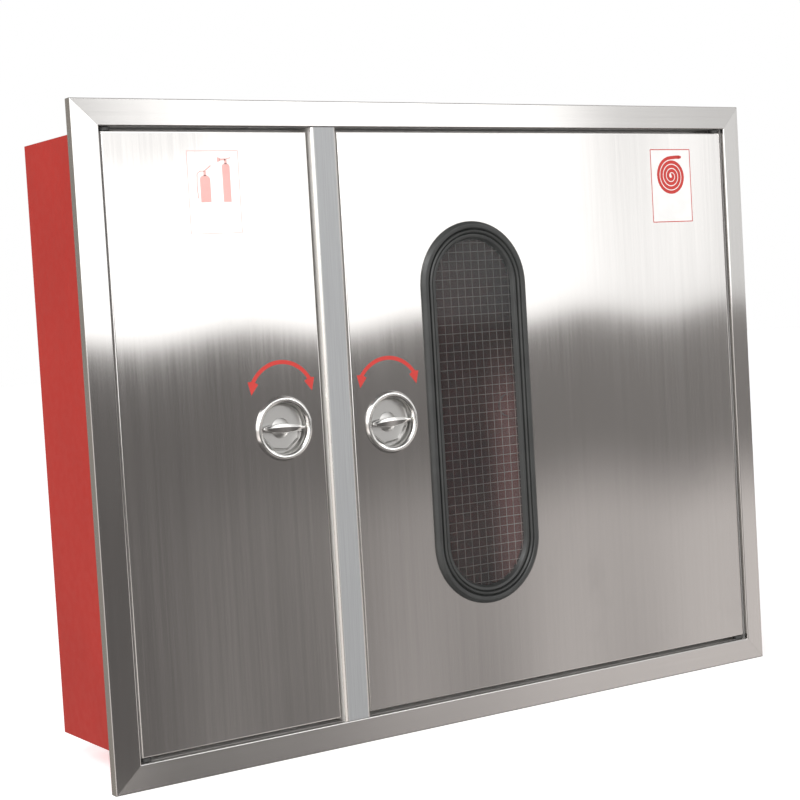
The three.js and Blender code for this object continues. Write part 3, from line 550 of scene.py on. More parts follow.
def hex_bolt(at, axis, across, height):
    """Washer and hexagon head with a turned chamfer."""
    corner = across / math.cos(math.pi / 6) / 2

    def head(angle):
        outer = hexed(corner, angle)
        return [(0, 1.4), (outer, 1.4), (outer, height - 0.9), (across * 0.46, height), (0, height)]
    washer = turned([(0, -0.1), (across * 0.92, -0.1), (across * 0.92, 1.1), (across * 0.86, 1.5), (0, 1.5)],
                    at, axis, 32)
    return joined(washer, turned(head, at, axis, 48))


# ---------------------------------------------------------------- trim frame and mullion

SHEET = 1.2
BEND = 1.7
TRIM_FACE = 35
SCREW_IN = 7.5    # from the inner edge of the trim's face to the middle of its lip
BUSH_HOLE_R = 5.05


def drilled(piece, end):
    """Cuts the holes for the door bushes through a trim member."""
    for side in ("left", "right"):
        bush = f"{side}_bush_{end}"
        low, high = span(bush)
        reach = BUSH_HOLE_R * MM
        grid = bmesh.new()
        bmesh.ops.create_cone(grid, cap_ends=True, segments=32, radius1=reach, radius2=reach,
                              depth=(high.z - low.z) * MM, matrix=Matrix.Translation(middle(bush) * MM))
        drill = bpy.data.meshes.new("drill")
        grid.to_mesh(drill)
        grid.free()
        bit = bpy.data.objects.new("drill", drill)
        bpy.context.scene.collection.objects.link(bit)
        cut = piece.modifiers.new("bush_hole", "BOOLEAN")
        cut.operation, cut.solver, cut.object = "DIFFERENCE", "EXACT", bit
        whole = piece.evaluated_get(bpy.context.evaluated_depsgraph_get())
        piece.data = bpy.data.meshes.new_from_object(whole)
        piece.modifiers.remove(cut)
        bpy.data.objects.remove(bit)
        bpy.data.meshes.remove(drill)


def trims():
    low, high = span("trim_top")
    crest, stop = low.y, high.y - SHEET
    outer_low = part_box("trim_left")[0].z / MM
    half_w, half_h = -span("trim_left")[0].x, -outer_low
    edge, foot = crest + 4, crest + 19
    path = fillet([(9, foot), (0, foot), (0, edge), (TRIM_FACE, crest), (TRIM_FACE, stop),
                   (TRIM_FACE + 15, stop)], BEND)
    section = folded(path, SHEET)
    mitre_gap = 0.05

    def member(name, node, length, out, along, material):
        """out is the way from the frame's centre to this member, along its length."""
        def stations():
            for end in (-1, 1):
                inward = -out - along * end
                corner = out * out_reach + along * (end * (length - mitre_gap))
                yield corner, inward, Y
        out_reach = high.z if abs(out.z) else half_w
        return make(name, sweep(section, list(stations())), node, material=material)

    drilled(member("trim_top_member", "trim_top", half_w, Z, X, "stainless_level"), "top")
    drilled(member("trim_bottom_member", "trim_bottom", half_w, -Z, X, "stainless_level"), "bottom")
    member("trim_left_member", "trim_left", half_h, -X, Z, "stainless")
    member("trim_right_member", "trim_right", half_h, X, Z, "stainless")
    lip_x, lip_z = half_w - TRIM_FACE - SCREW_IN, half_h - TRIM_FACE - SCREW_IN
    spots = [(way * lip_x, stop, z) for way in (-1, 1) for z in (-330, -110, 110, 330)]
    spots += [(x, stop, way * lip_z) for way in (-1, 1) for x in (-440, -290, -60, 180, 420)]
    heads = [button_screw(spot, -Y, 3.6) for spot in spots]
    make("trim_screws", joined(*heads), slot="zinc_steel", body="cabinet")


def mullion():
    low, high = span("mullion")
    lip = 14
    left, right, crest, stop = low.x + lip, high.x - lip, low.y, high.y - SHEET
    hat = fillet([(left, stop - 1), (left, crest), (right, crest), (right, stop - 1)], 5, 8)
    foot_left = fillet([(left - lip, stop), (left, stop), (left, stop - 3)], 1.0, 4)[:-1]
    foot_right = fillet([(right, stop - 3), (right, stop), (right + lip, stop)], 1.0, 4)[1:]
    section = folded(foot_left + hat[1:-1] + foot_right, SHEET)
    notch = low.z + 15.6

    def column(z0, z1, outline):
        return sweep(outline, [(Z * z0, X, Y), (Z * z1, X, Y)])
    hat_only = folded(fillet([(left, stop - 2), (left, crest), (right, crest), (right, stop - 2)], 5, 8), SHEET)
    ends = [column(low.z, notch, hat_only), column(-notch, high.z, hat_only)]
    make("mullion_cover", joined(column(notch, -notch, section), *ends), "mullion", material="stainless_dull")


def seals():
    """Door seals: a flat foot with a hollow bulb."""
    for side in ("left", "right"):
        node = side + "_seal_strip"
        low, high = span(node)
        width, depth = high.x - low.x, high.y - low.y
        bulb = [(width / 2 + width * 0.5 * math.cos(a), depth - (depth - 0.1) * math.sin(a) ** 0.6)
                for a in (math.pi * i / 16 for i in range(17))]
        stations = [(Vector((low.x, low.y, z)), X, Y) for z in (low.z, high.z)]
        make(node + "_bulb", sweep(bulb, stations), node)


# ---------------------------------------------------------------- window

def stadium(centre, arc_z, steps=36):
    """Stations round a window with half-round ends: A points outwards and B backwards."""
    stations = []
    for end in (0, 1):
        origin = centre + Z * (arc_z if end == 0 else -arc_z)
        for i in range(steps + 1):
            angle = math.pi * (end + i / steps)
            stations.append((origin, X * math.cos(angle) + Z * math.sin(angle), Y))
    return stations


def window():
    low, high = span("window_gasket")
    outer = (high.x - low.x) / 2
    arc_z = (high.z - low.z) / 2 - outer
    face = span("right_door_panel")[0].y
    centre = Vector((middle("window_gasket").x, face, middle("window_gasket").z))
    ring = stadium(centre, arc_z)
    glass_low, glass_high = span("window_glass")
    pane_front, pane_back = glass_low.y - face, glass_high.y - face
    front = fillet([(outer, -0.2), (outer - 0.4, -2.6), (outer - 4.5, -5.9), (outer - 9.5, -5.6),
                    (outer - 11.6, -2.0), (outer - 17.2, -2.0), (outer - 18.6, -4.3), (outer - 22.5, -3.4),
                    (outer - 25.4, pane_front - 0.2)], 2.2, 5)
    rear = [(outer - 18.4, pane_front - 0.2), (outer - 18.4, pane_back + 0.2), (outer - 24.8, pane_back + 0.2)]
    rear += fillet([(outer - 24.8, pane_back + 0.3), (outer - 21, 12.2), (outer - 8, 12.2), (outer - 2.6, 7.5),
                    (outer - 2.6, 1.5)], 2.5, 5)
    rear += [(outer - 13.3, 1.5), (outer - 13.3, -0.2)]
    make("window_gasket_ring", sweep(front + rear, ring, loop=True), "window_gasket")
    strip = [(outer - 12.1, -2.05), (outer - 12.3, -4.4), (outer - 13.1, -5.6), (outer - 14.4, -6.1),
             (outer - 15.7, -5.6), (outer - 16.5, -4.4), (outer - 16.7, -2.05)]
    make("window_filler_strip", sweep(strip, ring, loop=True), "window_locking_strip")
    edge = (glass_high.x - glass_low.x) / 2
    pane = [(0, pane_front), (edge - 0.6, pane_front), (edge, pane_front + 0.6), (edge, pane_back - 0.6),
            (edge - 0.6, pane_back), (0, pane_back)]
    make("window_pane", pane_of(pane, centre, arc_z), "window_glass", angle=25)
    wires(centre + Y * ((pane_front + pane_back) / 2), edge - 1.5, arc_z)


def pane_of(outline, centre, arc_z):
    """A flat plate with half-round ends and ground edges, from an outline of [radius, y]."""
    ring = stadium(centre, arc_z)
    skin = [p for p in outline if p[0] > 0]
    verts, faces = sweep(skin, ring, loop=True)
    n = len(skin)
    faces = [f for f in faces if not {f[0] % n, f[1] % n} == {0, n - 1}]
    faces += [tuple(i * n for i in range(len(ring))), tuple(i * n + n - 1 for i in range(len(ring)))]
    return verts, faces


WIRE_PITCH = 12.7
WIRE_R = 0.5


def wires(centre, reach, arc_z):
    """Square mesh of welded wires inside the glass."""
    section = disc_section(WIRE_R, 6)
    lines = []
    count = int(reach // WIRE_PITCH)
    for i in range(-count, count + 1):
        x = i * WIRE_PITCH
        half = arc_z + math.sqrt(reach ** 2 - x ** 2)
        foot = centre + X * x - Y * WIRE_R
        lines.append(sweep(section, [(foot - Z * half, X, Y), (foot + Z * half, X, Y)]))
    rows = int((arc_z + reach) // WIRE_PITCH)
    for i in range(-rows, rows + 1):
        z = i * WIRE_PITCH
        half = math.sqrt(reach ** 2 - max(0.0, abs(z) - arc_z) ** 2)
        foot = centre + Z * z + Y * WIRE_R * 0.8
        lines.append(sweep(section, [(foot - X * half, Z, Y), (foot + X * half, Z, Y)]))
    make("window_wires", joined(*lines), slot="zinc_steel", material="wire", body="right_door")


# ---------------------------------------------------------------- latches

BLADE_TILT = {"left": -2, "right": 2}    # degrees, as in the CAD model
WELL_TILT = {"left": -7, "right": 9}


def latch_cup(side):
    node = side + "_latch_cup"
    face = span(side + "_door_panel")[0].y
    centre = Vector((middle(node).x, face, middle(node).z))
    eighth, tilt = math.pi / 4, math.radians(WELL_TILT[side])

    def well(apothem, angle):
        return apothem / math.cos((angle - tilt + eighth / 2) % eighth - eighth / 2)

    def outline(angle):
        """Round in the upper half, and half an octagon with a raised lip in the lower half."""
        angle = -angle    # turned() goes clockwise as seen from the front
        rim = [(33.2, 7.5), (33.4, 3.0), (33.8, -0.6), (34.6, -2.6), (36.2, -3.9), (38.4, -4.35), (40.3, -3.9),
               (41.9, -2.5), (43.0, -0.25), (35.7, -0.25), (35.7, 10.0), (34.8, 11.8), (32.0, 13.0), (10.0, 13.0),
               (10.0, 21.0), (5.3, 21.0), (5.3, 10.5)]
        if math.sin(angle - tilt) > -0.12:
            return rim + [(29.6, 10.5), (30.6, 10.35), (31.5, 10.0), (32.2, 9.4), (32.7, 8.7), (33.0, 8.1)]
        floor, lip = well(26.2, angle), well(28.4, angle)
        return rim + [(floor, 10.5), (floor + 0.3, 10.3), (lip, 7.4), (lip + 0.7, 7.4), (lip + 0.9, 11.4),
                      (max(lip + 1.0, 32.9), 11.4)]
    make(node + "_dished", turned(outline, centre, Y, 128), node, angle=26)


def tilted(side):
    """Ways across and up for a latch blade, turned with the latch."""
    turn = math.radians(BLADE_TILT[side])
    across = X * math.cos(turn) + Z * math.sin(turn)
    return across, Z * math.cos(turn) - X * math.sin(turn)


def latch_blade(side):
    node = side + "_latch_blade"
    face = span(side + "_door_panel")[0].y
    centre = Vector((middle(node).x, face, middle(node).z))
    across, up = tilted(side)
    half, steps = 31.0, 20

    def section(i):
        """Two flat facets that meet in a front edge, which lies above the middle."""
        t = 2 * i / steps - 1
        bulge = 1 - t * t
        thick, ridge = 1.5 + 4.7 * bulge ** 1.2, 1.7 * bulge
        crest = -1.1 - 0.7 * bulge
        return [(thick - 0.6, 6.9), (thick, 5.4), (thick, crest + 1.9), (thick - 0.3, crest + 1.5),
                (ridge + 0.25, crest + 0.05), (ridge, crest), (ridge - 0.3, crest + 0.07),
                (0.4 - thick, crest + 2.3), (-thick, crest + 2.9), (-thick, 5.4), (0.6 - thick, 6.9)]
    ways = [(centre + across * (half * (2 * i / steps - 1)), up, Y) for i in range(steps + 1)]
    knob = [(0, -1.6), (1.5, -1.2), (2.1, 0.4), (2.1, 5.4), (1.4, 6.6), (0, 6.8)]
    ends = [turned(knob, centre + across * reach, Y, 20) for reach in (-half + 0.9, half - 0.9)]
    boss = turned([(0, 6.4), (4.0, 6.6), (8.0, 7.4), (11.5, 8.8), (13.6, 10.1), (0, 10.1)], centre, Y, 48)
    rear = span(node)[1].y - face
    spindle = turned([(0, 9), (5, 9), (5, rear - 0.5), (4.5, rear), (0, rear)], centre, Y, 32)
    make(node + "_grip", joined(sweep(section, ways), boss, spindle, *ends), node, angle=32)


def latch_rear(side):
    nut = side + "_latch_nut"
    low, high = span(nut)
    depth = high.y - low.y
    at = Vector((middle(nut).x, low.y, middle(nut).z))

    def ring(angle):
        outer = hexed(17.3, angle)
        inner = 15.0 * 0.98
        return [(10.3, 0.6), (10.9, 0), (inner, 0), (outer, 0.7), (outer, depth - 0.7), (inner, depth),
                (10.9, depth), (10.3, depth - 0.6)]
    make(nut + "_threaded", turned(ring, at, Y, 72), nut, angle=25)
    refined(side + "_latch_cam", 0.5)


# ---------------------------------------------------------------- printed marks

FILM = 0.09


def on_door(door, x, z):
    """A point on a door's face."""
    return Vector((x, span(door + "_door_panel")[0].y, z))


def mark(name, door, shape, material):
    make(name, shape, slot="red_plastic", material=material, body=door + "_door", angle=50)


def ribbon(points, width, at, depth=FILM):
    """A printed line of one width along points [(x, z)], closed at its ends."""
    points = [Vector(p) for p in points]
    stations = []
    for i, p in enumerate(points):
        way = (points[min(i + 1, len(points) - 1)] - points[max(i - 1, 0)]).normalized()
        side = Vector((-way.y, 0, way.x))
        stations.append((at + X * p.x + Z * p.y, side, -Y))
    half = width / 2
    return sweep([(-half, 0), (half, 0), (half, depth), (-half, depth)], stations)


def patch(points, at, depth=FILM):
    """A flat printed shape of outline [(x, z)]."""
    return sweep([(p[0], p[1]) for p in points], [(at, X, Z), (at - Y * depth, X, Z)])


def turn_arrow(side, centre_x, apex, foot):
    """Two-headed arc over a latch. Heads point down to foot."""
    at = on_door(side, centre_x, 0)
    half, head_from, width = 43.0, foot + 16, 5.4
    rise = apex - width / 2 - head_from
    radius = (half ** 2 + rise ** 2) / (2 * rise)
    reach = math.asin(half / radius)
    low = apex - width / 2 - radius
    angles = [reach * (1 - i / 20) for i in range(41)]
    shapes = [ribbon([(radius * math.sin(a), low + radius * math.cos(a)) for a in angles], width, at)]
    for way in (1, -1):
        corners = [(way * (half - 8), head_from - 2.5), (way * (half - 0.5), head_from + 2),
                   (way * (half + 7.5), head_from + 1.5), (way * (half + 3), foot)]
        shapes.append(patch(corners, at, FILM * 1.4))
    mark(side + "_turn_arrow", side, joined(*shapes), "red_ink")


def frame_line(half_w, half_h, width, at):
    corners = [(-half_w, -half_h), (half_w, -half_h), (half_w, half_h), (-half_w, half_h)]
    return joined(*[ribbon([a, b], width, at) for a, b in zip(corners, corners[1:] + corners[:1])])


def hose_label():
    """White film with a red border and a spiral for the hose reel."""
    at = on_door("right", 416.6, 314.4)
    half_w, half_h = 40.2, 55.4
    mark("hose_label_film", "right", patch(rounded_rectangle(half_w, half_h, 1.5), at, FILM * 0.6), "white_film")
    top = at - Y * FILM * 0.6
    turns, outer, centre_z = 4.0, 27.8, 14.6
    spiral = []
    for i in range(121):
        t = i / 120
        angle = math.pi / 2 + 2 * math.pi * turns * (1 - t)
        radius = 1.8 + (outer - 1.8) * t
        spiral.append((0.6 + radius * math.cos(angle), centre_z + radius * math.sin(angle)))
    tip = centre_z + outer + 0.8
    spiral += [(5, tip - 0.5), (11, tip), (17, tip)]
    shapes = [ribbon(spiral, 5.1, top), frame_line(half_w - 0.7, half_h - 0.7, 1.3, top)]
    shapes.append(patch([(16, tip - 2.9), (22, tip - 1.5), (22, tip + 1.5), (16, tip + 2.9)], top))
    mark("hose_label_spiral", "right", joined(*shapes), "red_ink")


def bottle(x, foot, half, top, neck):
    """Silhouette of an extinguisher: a body with round shoulders and a neck."""
    shoulder = [(x + half * math.cos(a), top - half * 0.8 + half * 0.8 * math.sin(a))
                for a in (math.pi * i / 12 for i in range(13))]
    body = [(x + half, foot)] + shoulder + [(x - half, foot)]
    return body, [(x - 1.8, top - 1), (x + 1.8, top - 1), (x + 1.8, top + neck), (x - 1.8, top + neck)]


def extinguisher_label():
    """Two extinguishers in a thin border, printed without a backing."""
    at = on_door("left", -367.5, 316.5)
    shapes = [frame_line(37, 53, 0.8, at)]
    for x, half, top, neck in ((-12.5, 7.4, 22, 5), (18.5, 5.6, 37, 5)):
        shapes += [patch(p, at) for p in bottle(x, -13, half, top, neck)]
    shapes.append(ribbon([(-12.5, 27), (-19, 27), (-23.5, 24), (-24.5, 8), (-23.5, -8)], 1.3, at))
    shapes.append(ribbon([(-12.5, 27.5), (-3.5, 34)], 1.8, at))
    shapes.append(ribbon([(18.5, 42), (10, 41.5)], 2.6, at))
    shapes.append(patch([(10.5, 43.8), (6.4, 44.6), (6.4, 38.6), (10.5, 39.4)], at))
    shapes.append(ribbon([(19, 42.5), (26, 44)], 1.4, at))
    mark("extinguisher_label", "left", joined(*shapes), "faded_ink")


# ---------------------------------------------------------------- hose reel

def reel_discs(centre):
    for node, way in (("reel_front_disc", -1), ("reel_rear_disc", 0.6)):
        low, high = span(node)
        rim = high.x - centre.x
        flat = high.y - 1.5 if way < 0 else low.y
        path = [(24.5, 4), (56, 4), (62, 0), (186, 0), (192, 2.6), (214, 2.6), (220, 0), (rim - 8, 0),
                (rim - 2.6, 4)]
        lines = fillet([(r, flat + way * h) for r, h in path], 3.2, 5)
        section = folded(lines, 1.5)
        bead_y = flat + way * 3.9 + 0.75
        bead = [(rim - 2.3 + 2.2 * math.cos(a), bead_y + 2.2 * math.sin(a))
                for a in (2 * math.pi * i / 12 for i in range(12))]
        at = Vector((centre.x, 0, centre.z))
        shapes = [turned(section, at, Y, 128), turned(bead, at, Y, 128)]
        make(node + "_pressed", joined(*shapes), node)
    front = span("reel_front_disc")[1].y - 1.5
    bolts = []
    for i in range(6):
        a = 2 * math.pi * (i + 0.5) / 6
        foot = Vector((centre.x + 42 * math.cos(a), front - 4, centre.z + 42 * math.sin(a)))
        bolts.append(hex_bolt(foot, -Y, 10, 6.5))
    make("reel_hub_bolts", joined(*bolts), slot="red_paint", body="hose_reel")


def reel_core(centre):
    at = Vector((centre.x, 0, centre.z))
    low, high = span("reel_drum")
    outer = high.x - centre.x
    drum = [(outer - 1.5, low.y + 0.2), (outer - 0.6, low.y), (outer, low.y + 0.6), (outer, high.y - 0.6),
            (outer - 0.6, high.y), (outer - 1.5, high.y - 0.2)]
    make("reel_drum_rolled", turned(drum, at, Y, 96), "reel_drum")
    low, high = span("reel_sleeve")
    bore = 17.2
    sleeve = [(bore, low.y + 0.8), (bore + 0.8, low.y), (23.4, low.y), (24.2, low.y + 0.8), (24.2, high.y - 0.8),
              (23.4, high.y), (bore + 0.8, high.y), (bore, high.y - 0.8)]
    make("reel_sleeve_turned", turned(sleeve, at, Y, 48), "reel_sleeve")
    low, high = span("reel_axle")
    axle = [(13.6, low.y), (16.3, low.y), (16.85, low.y + 0.6), (16.85, high.y), (13.6, high.y)]
    make("reel_axle_tube", turned(axle, at, Y, 48), "reel_axle")


HOSE_D = 27.0
LAYERS, TURNS = 6, 4
SHIFT_FROM, CLIMB_FROM = 0.70, 0.85    # parts of a turn where the hose steps sideways and outwards
STEPS = 40
TAIL_END = 255.6    # degrees round the reel where the hose meets the nozzle


def ease(t):
    t = min(1.0, max(0.0, t))
    return t * t * (3 - 2 * t)


def hose_route(centre):
    """Centre line of the wound hose as (angle, radius, y), from the drum to the nozzle."""
    low, high = span("hose_coil")
    inner = span("reel_drum")[1].x - centre.x + HOSE_D / 2 + 0.4
    rows = [low.y + (high.y - low.y) * (j + 0.5) / TURNS for j in range(TURNS)]
    tail_low, tail_high = span("hose_tail")
    tail_r = centre.x - tail_low.x - HOSE_D / 2
    tail_y = (tail_low.y + tail_high.y) / 2
    route = []
    for layer in range(LAYERS):
        order = rows if layer % 2 == 0 else rows[::-1]
        radius = inner + HOSE_D * layer
        last = layer == LAYERS - 1
        for turn in range(TURNS - 1 if last else TURNS):
            for i in range(STEPS):
                u = i / STEPS
                y, r = order[turn], radius
                if turn < TURNS - 1:
                    y += (order[turn + 1] - y) * ease((u - SHIFT_FROM) / (CLIMB_FROM - SHIFT_FROM))
                else:
                    r += HOSE_D * ease((u - CLIMB_FROM) / (1 - CLIMB_FROM))
                route.append((90 + 360 * u, r, y))
    start_y, start_r = route[-1][2], route[-1][1]
    tail_steps = 24
    for i in range(tail_steps + 1):
        angle = 90 + (TAIL_END - 90) * i / tail_steps
        climb, drift = ease((angle - 90) / 42), ease((angle - 118) / 55)
        route.append((angle, start_r + (tail_r - start_r) * climb, start_y + (tail_y - start_y) * drift))
    return route


def hose(centre):
    stations = []
    for degrees, radius, y in hose_route(centre):
        a = math.radians(degrees)
        out = X * math.cos(a) + Z * math.sin(a)
        stations.append((Vector((centre.x, y, centre.z)) + out * radius, out, Y))
    make("wound_hose", sweep(disc_section(HOSE_D / 2 - 0.1, 14), stations), "hose_coil", "hose_tail", angle=60)


def nozzle(centre):
    joint = next(j for j in frame["joints"] if j["name"] == "nozzle_twist")
    axis = Vector(joint["axis"]).normalized()
    pivot = Vector(joint["pos_m"]) / MM
    tail_r = centre.x - span("hose_tail")[0].x - HOSE_D / 2
    a = math.radians(TAIL_END)
    start = Vector((centre.x + tail_r * math.cos(a), pivot.y, centre.z + tail_r * math.sin(a)))
    start = pivot + axis * axis.dot(start - pivot)
    ribs = []
    for i in range(6):
        ribs += [(14.1, 7 + i * 4.4), (14.8, 8.2 + i * 4.4), (14.8, 9.6 + i * 4.4), (14.1, 10.8 + i * 4.4)]
    body = [(0, 1), (13.2, 1), (14.2, 2), (14.8, 4), *ribs, (14.4, 35), (13, 38), (12.6, 46), (13, 52),
            (15.4, 55.2), (16, 57), (16, 69), (15, 70.6), (11, 71), (11, 117.4), (10.4, 118), (0, 118)]
    make("nozzle_body_moulded", turned(body, start, axis, 48), "nozzle_body")

    def head(angle):
        grip = 0.9 * (1 - abs(math.sin(angle * 6))) ** 2
        return [(11.4, 72), (17, 72), (18, 73), (19.3 - grip, 76), (19.5 - grip, 80), (19.5 - grip, 108),
                (19.2 - grip, 112), (17.4, 120), (15.2, 130), (14, 138), (14, 144.6), (13.2, 146), (9.2, 146),
                (8, 140), (8, 119), (11.4, 119)]
    make("nozzle_head_fluted", turned(head, start, axis, 96), "nozzle_head", angle=30)


# ---------------------------------------------------------------- feed pipes and valve

PIPE_R, BORE_R = 16.85, 13.6


def tube_between(start, end, axis):
    length = (end - start).length
    ring = [(BORE_R, 0), (PIPE_R - 0.8, 0), (PIPE_R, 0.8), (PIPE_R, length - 0.8), (PIPE_R - 0.8, length),
            (BORE_R, length)]
    return turned(ring, start, axis, 48)


def bend_between(centre, start_way, end_way, radius, section_r):
    """Quarter bend whose arms leave its inner corner along start_way and end_way."""
    hub = centre + (start_way + end_way) * radius
    stations = []
    square = start_way.cross(end_way)
    for i in range(13):
        a = math.pi / 2 * i / 12
        out = -end_way * math.cos(a) - start_way * math.sin(a)
        stations.append((hub + out * radius, out, square))
    return sweep(disc_section(section_r, 40), stations)


def pipes():
    low, high = span("feed_pipe")
    mid = (low + high) / 2
    feed_start = Vector((low.x, mid.y, mid.z))
    make("feed_pipe_tube", tube_between(feed_start, Vector((high.x, mid.y, mid.z)), X), "feed_pipe")
    low, high = span("riser_pipe")
    mid = (low + high) / 2
    riser = tube_between(Vector((mid.x, mid.y, low.z)), Vector((mid.x, mid.y, high.z)), Z)
    make("riser_pipe_tube", riser, "riser_pipe")
    low, high = span("inlet_pipe")
    inlet = tube_between(Vector((mid.x, mid.y, low.z)), Vector((mid.x, mid.y, high.z)), Z)
    threads = [turned([(PIPE_R - 0.4, 0), (PIPE_R + 0.05, 0.9), (PIPE_R - 0.4, 1.8)],
                      Vector((mid.x, mid.y, low.z + 1.5 + i * 2.31)), Z, 40) for i in range(7)]
    make("inlet_pipe_tube", joined(inlet, *threads), "inlet_pipe")
    hub_high = span("hub_elbow")[1]
    corner = Vector((middle("reel_axle").x, feed_start.y, feed_start.z))
    reach = PIPE_R * 0.98
    weld = [(PIPE_R - 1, -2.2), (PIPE_R + 0.7, -1.2), (PIPE_R + 1.0, 0), (PIPE_R + 0.7, 1.2), (PIPE_R - 1, 2.2)]
    shapes = [bend_between(corner, X, Y, reach, PIPE_R)]
    for way, end in ((X, hub_high.x - corner.x), (Y, hub_high.y - corner.y)):
        arm = [(0, 0), (PIPE_R, 0), (PIPE_R, end - reach), (0, end - reach)]
        shapes.append(turned(arm, corner + way * reach, way, 40))
    shapes.append(turned(weld, corner + X * (hub_high.x - corner.x - 3), X, 40))
    make("hub_elbow_welded", joined(*shapes), "hub_elbow", angle=50)
    riser_fittings(mid)


def riser_fittings(riser):
    low, high = span("riser_elbow")
    bead = high.y - riser.y
    body_r = bead - 2.5
    corner = Vector((riser.x, riser.y, middle("feed_pipe").z))
    reach = 12.0
    shapes = [bend_between(corner, -X, -Z, reach, body_r)]
    for way, end in ((-X, corner.x - low.x), (-Z, corner.z - low.z)):
        socket = fillet([(body_r, reach), (body_r, end - 8.5), (bead, end - 7.5), (bead, end), (PIPE_R + 0.3, end),
                         (PIPE_R + 0.3, reach), (PIPE_R, reach)], 0.9, 3)
        shapes.append(turned(socket, corner, way, 48))
    make("riser_elbow_cast", joined(*shapes), "riser_elbow", angle=50)
    ball_valve(riser)
    low, high = span("inlet_grommet")
    at = Vector((riser.x, riser.y, 0))
    rim = high.x - riser.x
    lip = [(PIPE_R + 0.3, low.z), (rim - 1.6, low.z), (rim, low.z + 1.4), (rim, low.z + 3.6),
           (24.2, low.z + 3.8), (24.2, high.z - 3.9), (rim, high.z - 3.7), (rim, high.z - 1.4),
           (rim - 1.6, high.z), (PIPE_R + 0.3, high.z)]
    make("inlet_grommet_ring", turned(lip, at, Z, 48), "inlet_grommet")
    refined("riser_clip", 0.6)


def ball_valve(riser):
    low, high = span("valve_body")
    mid = (low + high) / 2
    half = (high.z - low.z) / 2
    at = Vector((riser.x, riser.y, mid.z))

    def ends(angle):
        flat = hexed(24, angle)
        return [(14, half), (21.5, half), (flat, half - 1.6), (flat, half - 14.6), (21.0, half - 16),
                (20, half - 17)]

    def outline(angle):
        upper = ends(angle)
        lower = [(r, -h) for r, h in upper[::-1]]
        waist = [(26.9 * math.cos(a), 26.9 * math.sin(a)) for a in (0.72, 0.48, 0.24, 0, -0.24, -0.48, -0.72)]
        return upper + waist + lower
    neck_len = riser.y - low.y
    neck = turned([(0, 12), (13.5, 20), (12.2, 24), (11, 25.5), (11, neck_len - 1), (10.2, neck_len),
                   (5.3, neck_len), (5.3, 20), (0, 20)], at, -Y, 40)
    make("valve_body_cast", joined(turned(outline, at, Z, 72), neck), "valve_body", angle=30)
    stem_low, stem_high = span("valve_stem")
    stem_at = Vector((riser.x, stem_high.y, mid.z))
    length = stem_high.y - stem_low.y

    def stem(angle):
        nut = hexed(8.5, angle)
        front = length - 2.0
        return [(0, 0), (5, 0), (5, front - 6.2), (nut, front - 5.8), (nut, front - 0.6), (7, front), (5, front),
                (5, length - 0.8), (4.2, length), (0, length)]
    make("valve_stem_and_nut", turned(stem, stem_at, -Y, 48), "valve_stem", angle=30)
    refined("valve_lever", 1.1)


def bracket():
    refined("reel_bracket", 0.8)
    low, high = span("reel_bracket")
    bolts = []
    for sx in (-1, 1):
        for sz in (-1, 1):
            x = middle("reel_bracket").x + sx * ((high.x - low.x) / 2 - 16)
            z = middle("reel_bracket").z + sz * ((high.z - low.z) / 2 - 16)
            bolts.append(hex_bolt(Vector((x, low.y, z)), -Y, 13, 6))
    make("bracket_bolts", joined(*bolts), slot="zinc_steel", body="cabinet")


# ---------------------------------------------------------------- pieces that keep their CAD shape

def plain_pieces():
    for node in ("back_panel", "left_side_panel", "right_side_panel", "top_panel", "bottom_panel",
                 "compartment_partition"):
        refined(node, 0.5)
    for side in ("left", "right"):
        refined(side + "_door_panel", 0.0)
        refined(side + "_door_stiffener", 0.5)
        for end in ("top", "bottom"):
            refined(f"{side}_bush_{end}", 0.4)
            refined(f"{side}_pivot_{end}", 0.9)
        refined(side + "_extinguisher_hook", 0.8)


# ---------------------------------------------------------------- floor and light

def floor():
    size = 14.0
    low = cad_box[0].z - 0.0005
    mesh = bpy.data.meshes.new("floor")
    corners = [(-size, -size, low), (size, -size, low), (size, size, low), (-size, size, low)]
    mesh.from_pydata(corners, [], [(0, 1, 2, 3)])
    sheet = bpy.data.objects.new("floor", mesh)
    bpy.context.scene.collection.objects.link(sheet)
    mat = surface("floor_paper", blotched((0.84, 0.84, 0.84), 0.99, 1.0, (3, 3, 3)),
                  wandering(0.85, 0.9, (5, 5, 5)), Emission_Color=colour(1, 1, 1), Emission_Strength=0.62)
    mesh.materials.append(mat)
    sheet.visible_glossy = False


def softbox(name, at, aim, size, power, mirrored=True):
    light = bpy.data.lights.new(name, "AREA")
    light.shape = "RECTANGLE"
    light.size, light.size_y = size
    light.energy = power
    lamp = bpy.data.objects.new(name, light)
    lamp.location = at
    lamp.visible_glossy = mirrored
    lamp.rotation_mode = "QUATERNION"
    lamp.rotation_quaternion = (Vector(aim) - Vector(at)).to_track_quat("-Z", "Y")
    bpy.context.scene.collection.objects.link(lamp)


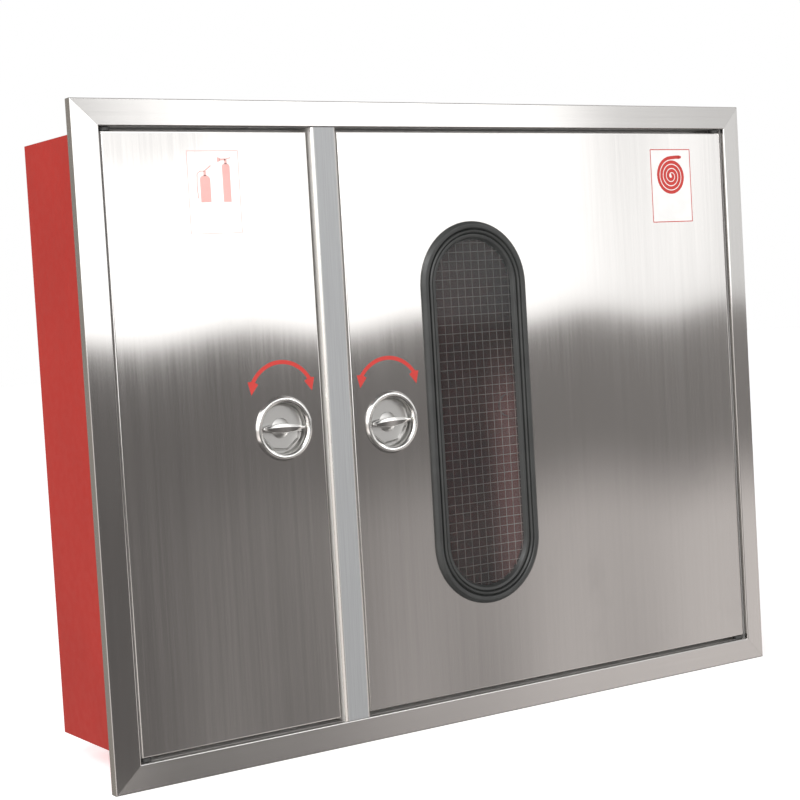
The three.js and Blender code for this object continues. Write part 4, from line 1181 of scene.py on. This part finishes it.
def studio():
    """White backdrop. What gloss reflects is a bright upper half over a darker ground."""
    world = bpy.data.worlds.new("studio")
    bpy.context.scene.world = world
    world.use_nodes = True
    world.cycles.sampling_method = "NONE"
    graph = Graph(world.node_tree)
    way = graph.add("ShaderNodeTexCoord").outputs["Generated"]
    parts = graph.add("ShaderNodeSeparateXYZ", {0: way}).outputs
    ahead = graph.maths("MULTIPLY", parts[1], -1.0)
    azimuth = graph.maths("DEGREES", graph.maths("ARCTAN2", parts[0], ahead))
    height = graph.maths("DEGREES", graph.maths("ARCSINE", parts[2]))
    far = graph.ramp(azimuth, 22, 45, 0.155, 0.29)
    near = graph.ramp(azimuth, 25.5, 45, 0.135, 0.84)
    nearest = graph.maths("ADD", graph.ramp(azimuth, 27, 45, 0.29, 0.86), graph.ramp(azimuth, 27, 24, 0, 0.3))
    ground = graph.blend(graph.ramp(height, -4.6, -7.6), far, near)
    ground = graph.blend(graph.ramp(height, -14, -19), ground, nearest)
    ground = graph.maths("ADD", ground, graph.ramp(azimuth, -8, -28, 0.0, 0.8))
    ground = graph.blend(graph.ramp(height, -27, -35), ground, 0.12)
    sky = graph.blend(graph.ramp(height, 8, 14), graph.ramp(azimuth, 37.5, 43.5, 2.2, 0.95),
                graph.ramp(azimuth, 38, 44, 2.2, 0.9))
    sky = graph.blend(graph.ramp(height, 38, 56), sky, 0.16)
    patch_across = graph.maths("MULTIPLY", graph.ramp(azimuth, 28, 25.5), graph.ramp(azimuth, 17, 20))
    grey_patch = graph.maths("MULTIPLY", patch_across, graph.ramp(height, 4.3, 5.2))
    sky = graph.maths("MULTIPLY", sky, graph.maths("SUBTRACT", 1.0, graph.maths("MULTIPLY", grey_patch, 0.62)))
    above = graph.ramp(height, -1.05, -0.45)
    level = graph.blend(above, ground, sky)
    tint = graph.mix(above, colour(1.0, 0.945, 0.92), colour(1, 1, 1))
    behind = graph.ramp(graph.maths("ABSOLUTE", azimuth), 75, 110)
    level = graph.blend(behind, level, 0.36)
    tint = graph.mix(behind, tint, colour(1.0, 0.93, 0.84))
    gloss = graph.add("ShaderNodeBackground", {"Color": tint, "Strength": level}).outputs[0]
    soft = graph.add("ShaderNodeBackground", {"Color": colour(1, 1, 1), "Strength": 0.5}).outputs[0]
    page = graph.add("ShaderNodeBackground", {"Color": colour(1, 1, 1), "Strength": 1.0}).outputs[0]
    path = graph.add("ShaderNodeLightPath").outputs
    light = graph.add("ShaderNodeMixShader", {0: path["Is Glossy Ray"], 1: soft, 2: gloss}).outputs[0]
    seen = graph.add("ShaderNodeMixShader", {0: path["Is Camera Ray"], 1: light, 2: page}).outputs[0]
    graph.add("ShaderNodeOutputWorld", {"Surface": seen})
    softbox("key", (-2.5, -1.9, 2.0), (0, -0.1, 0), (1.3, 1.3), 62)
    softbox("fill", (2.6, -3.0, 1.2), (0, 0, 0), (2.5, 2.0), 20, mirrored=False)
    bpy.context.scene.view_settings.view_transform = "Standard"


# ---------------------------------------------------------------- everything

camera()
trims()
mullion()
seals()
window()
for side in ("left", "right"):
    latch_cup(side)
    latch_blade(side)
    latch_rear(side)
turn_arrow("left", -286.5, 94.5, 51)
turn_arrow("right", -118.5, 89, 48)
hose_label()
extinguisher_label()
reel_centre = middle("reel_front_disc")
reel_discs(reel_centre)
reel_core(reel_centre)
hose(reel_centre)
nozzle(reel_centre)
pipes()
bracket()
plain_pieces()
floor()
studio()
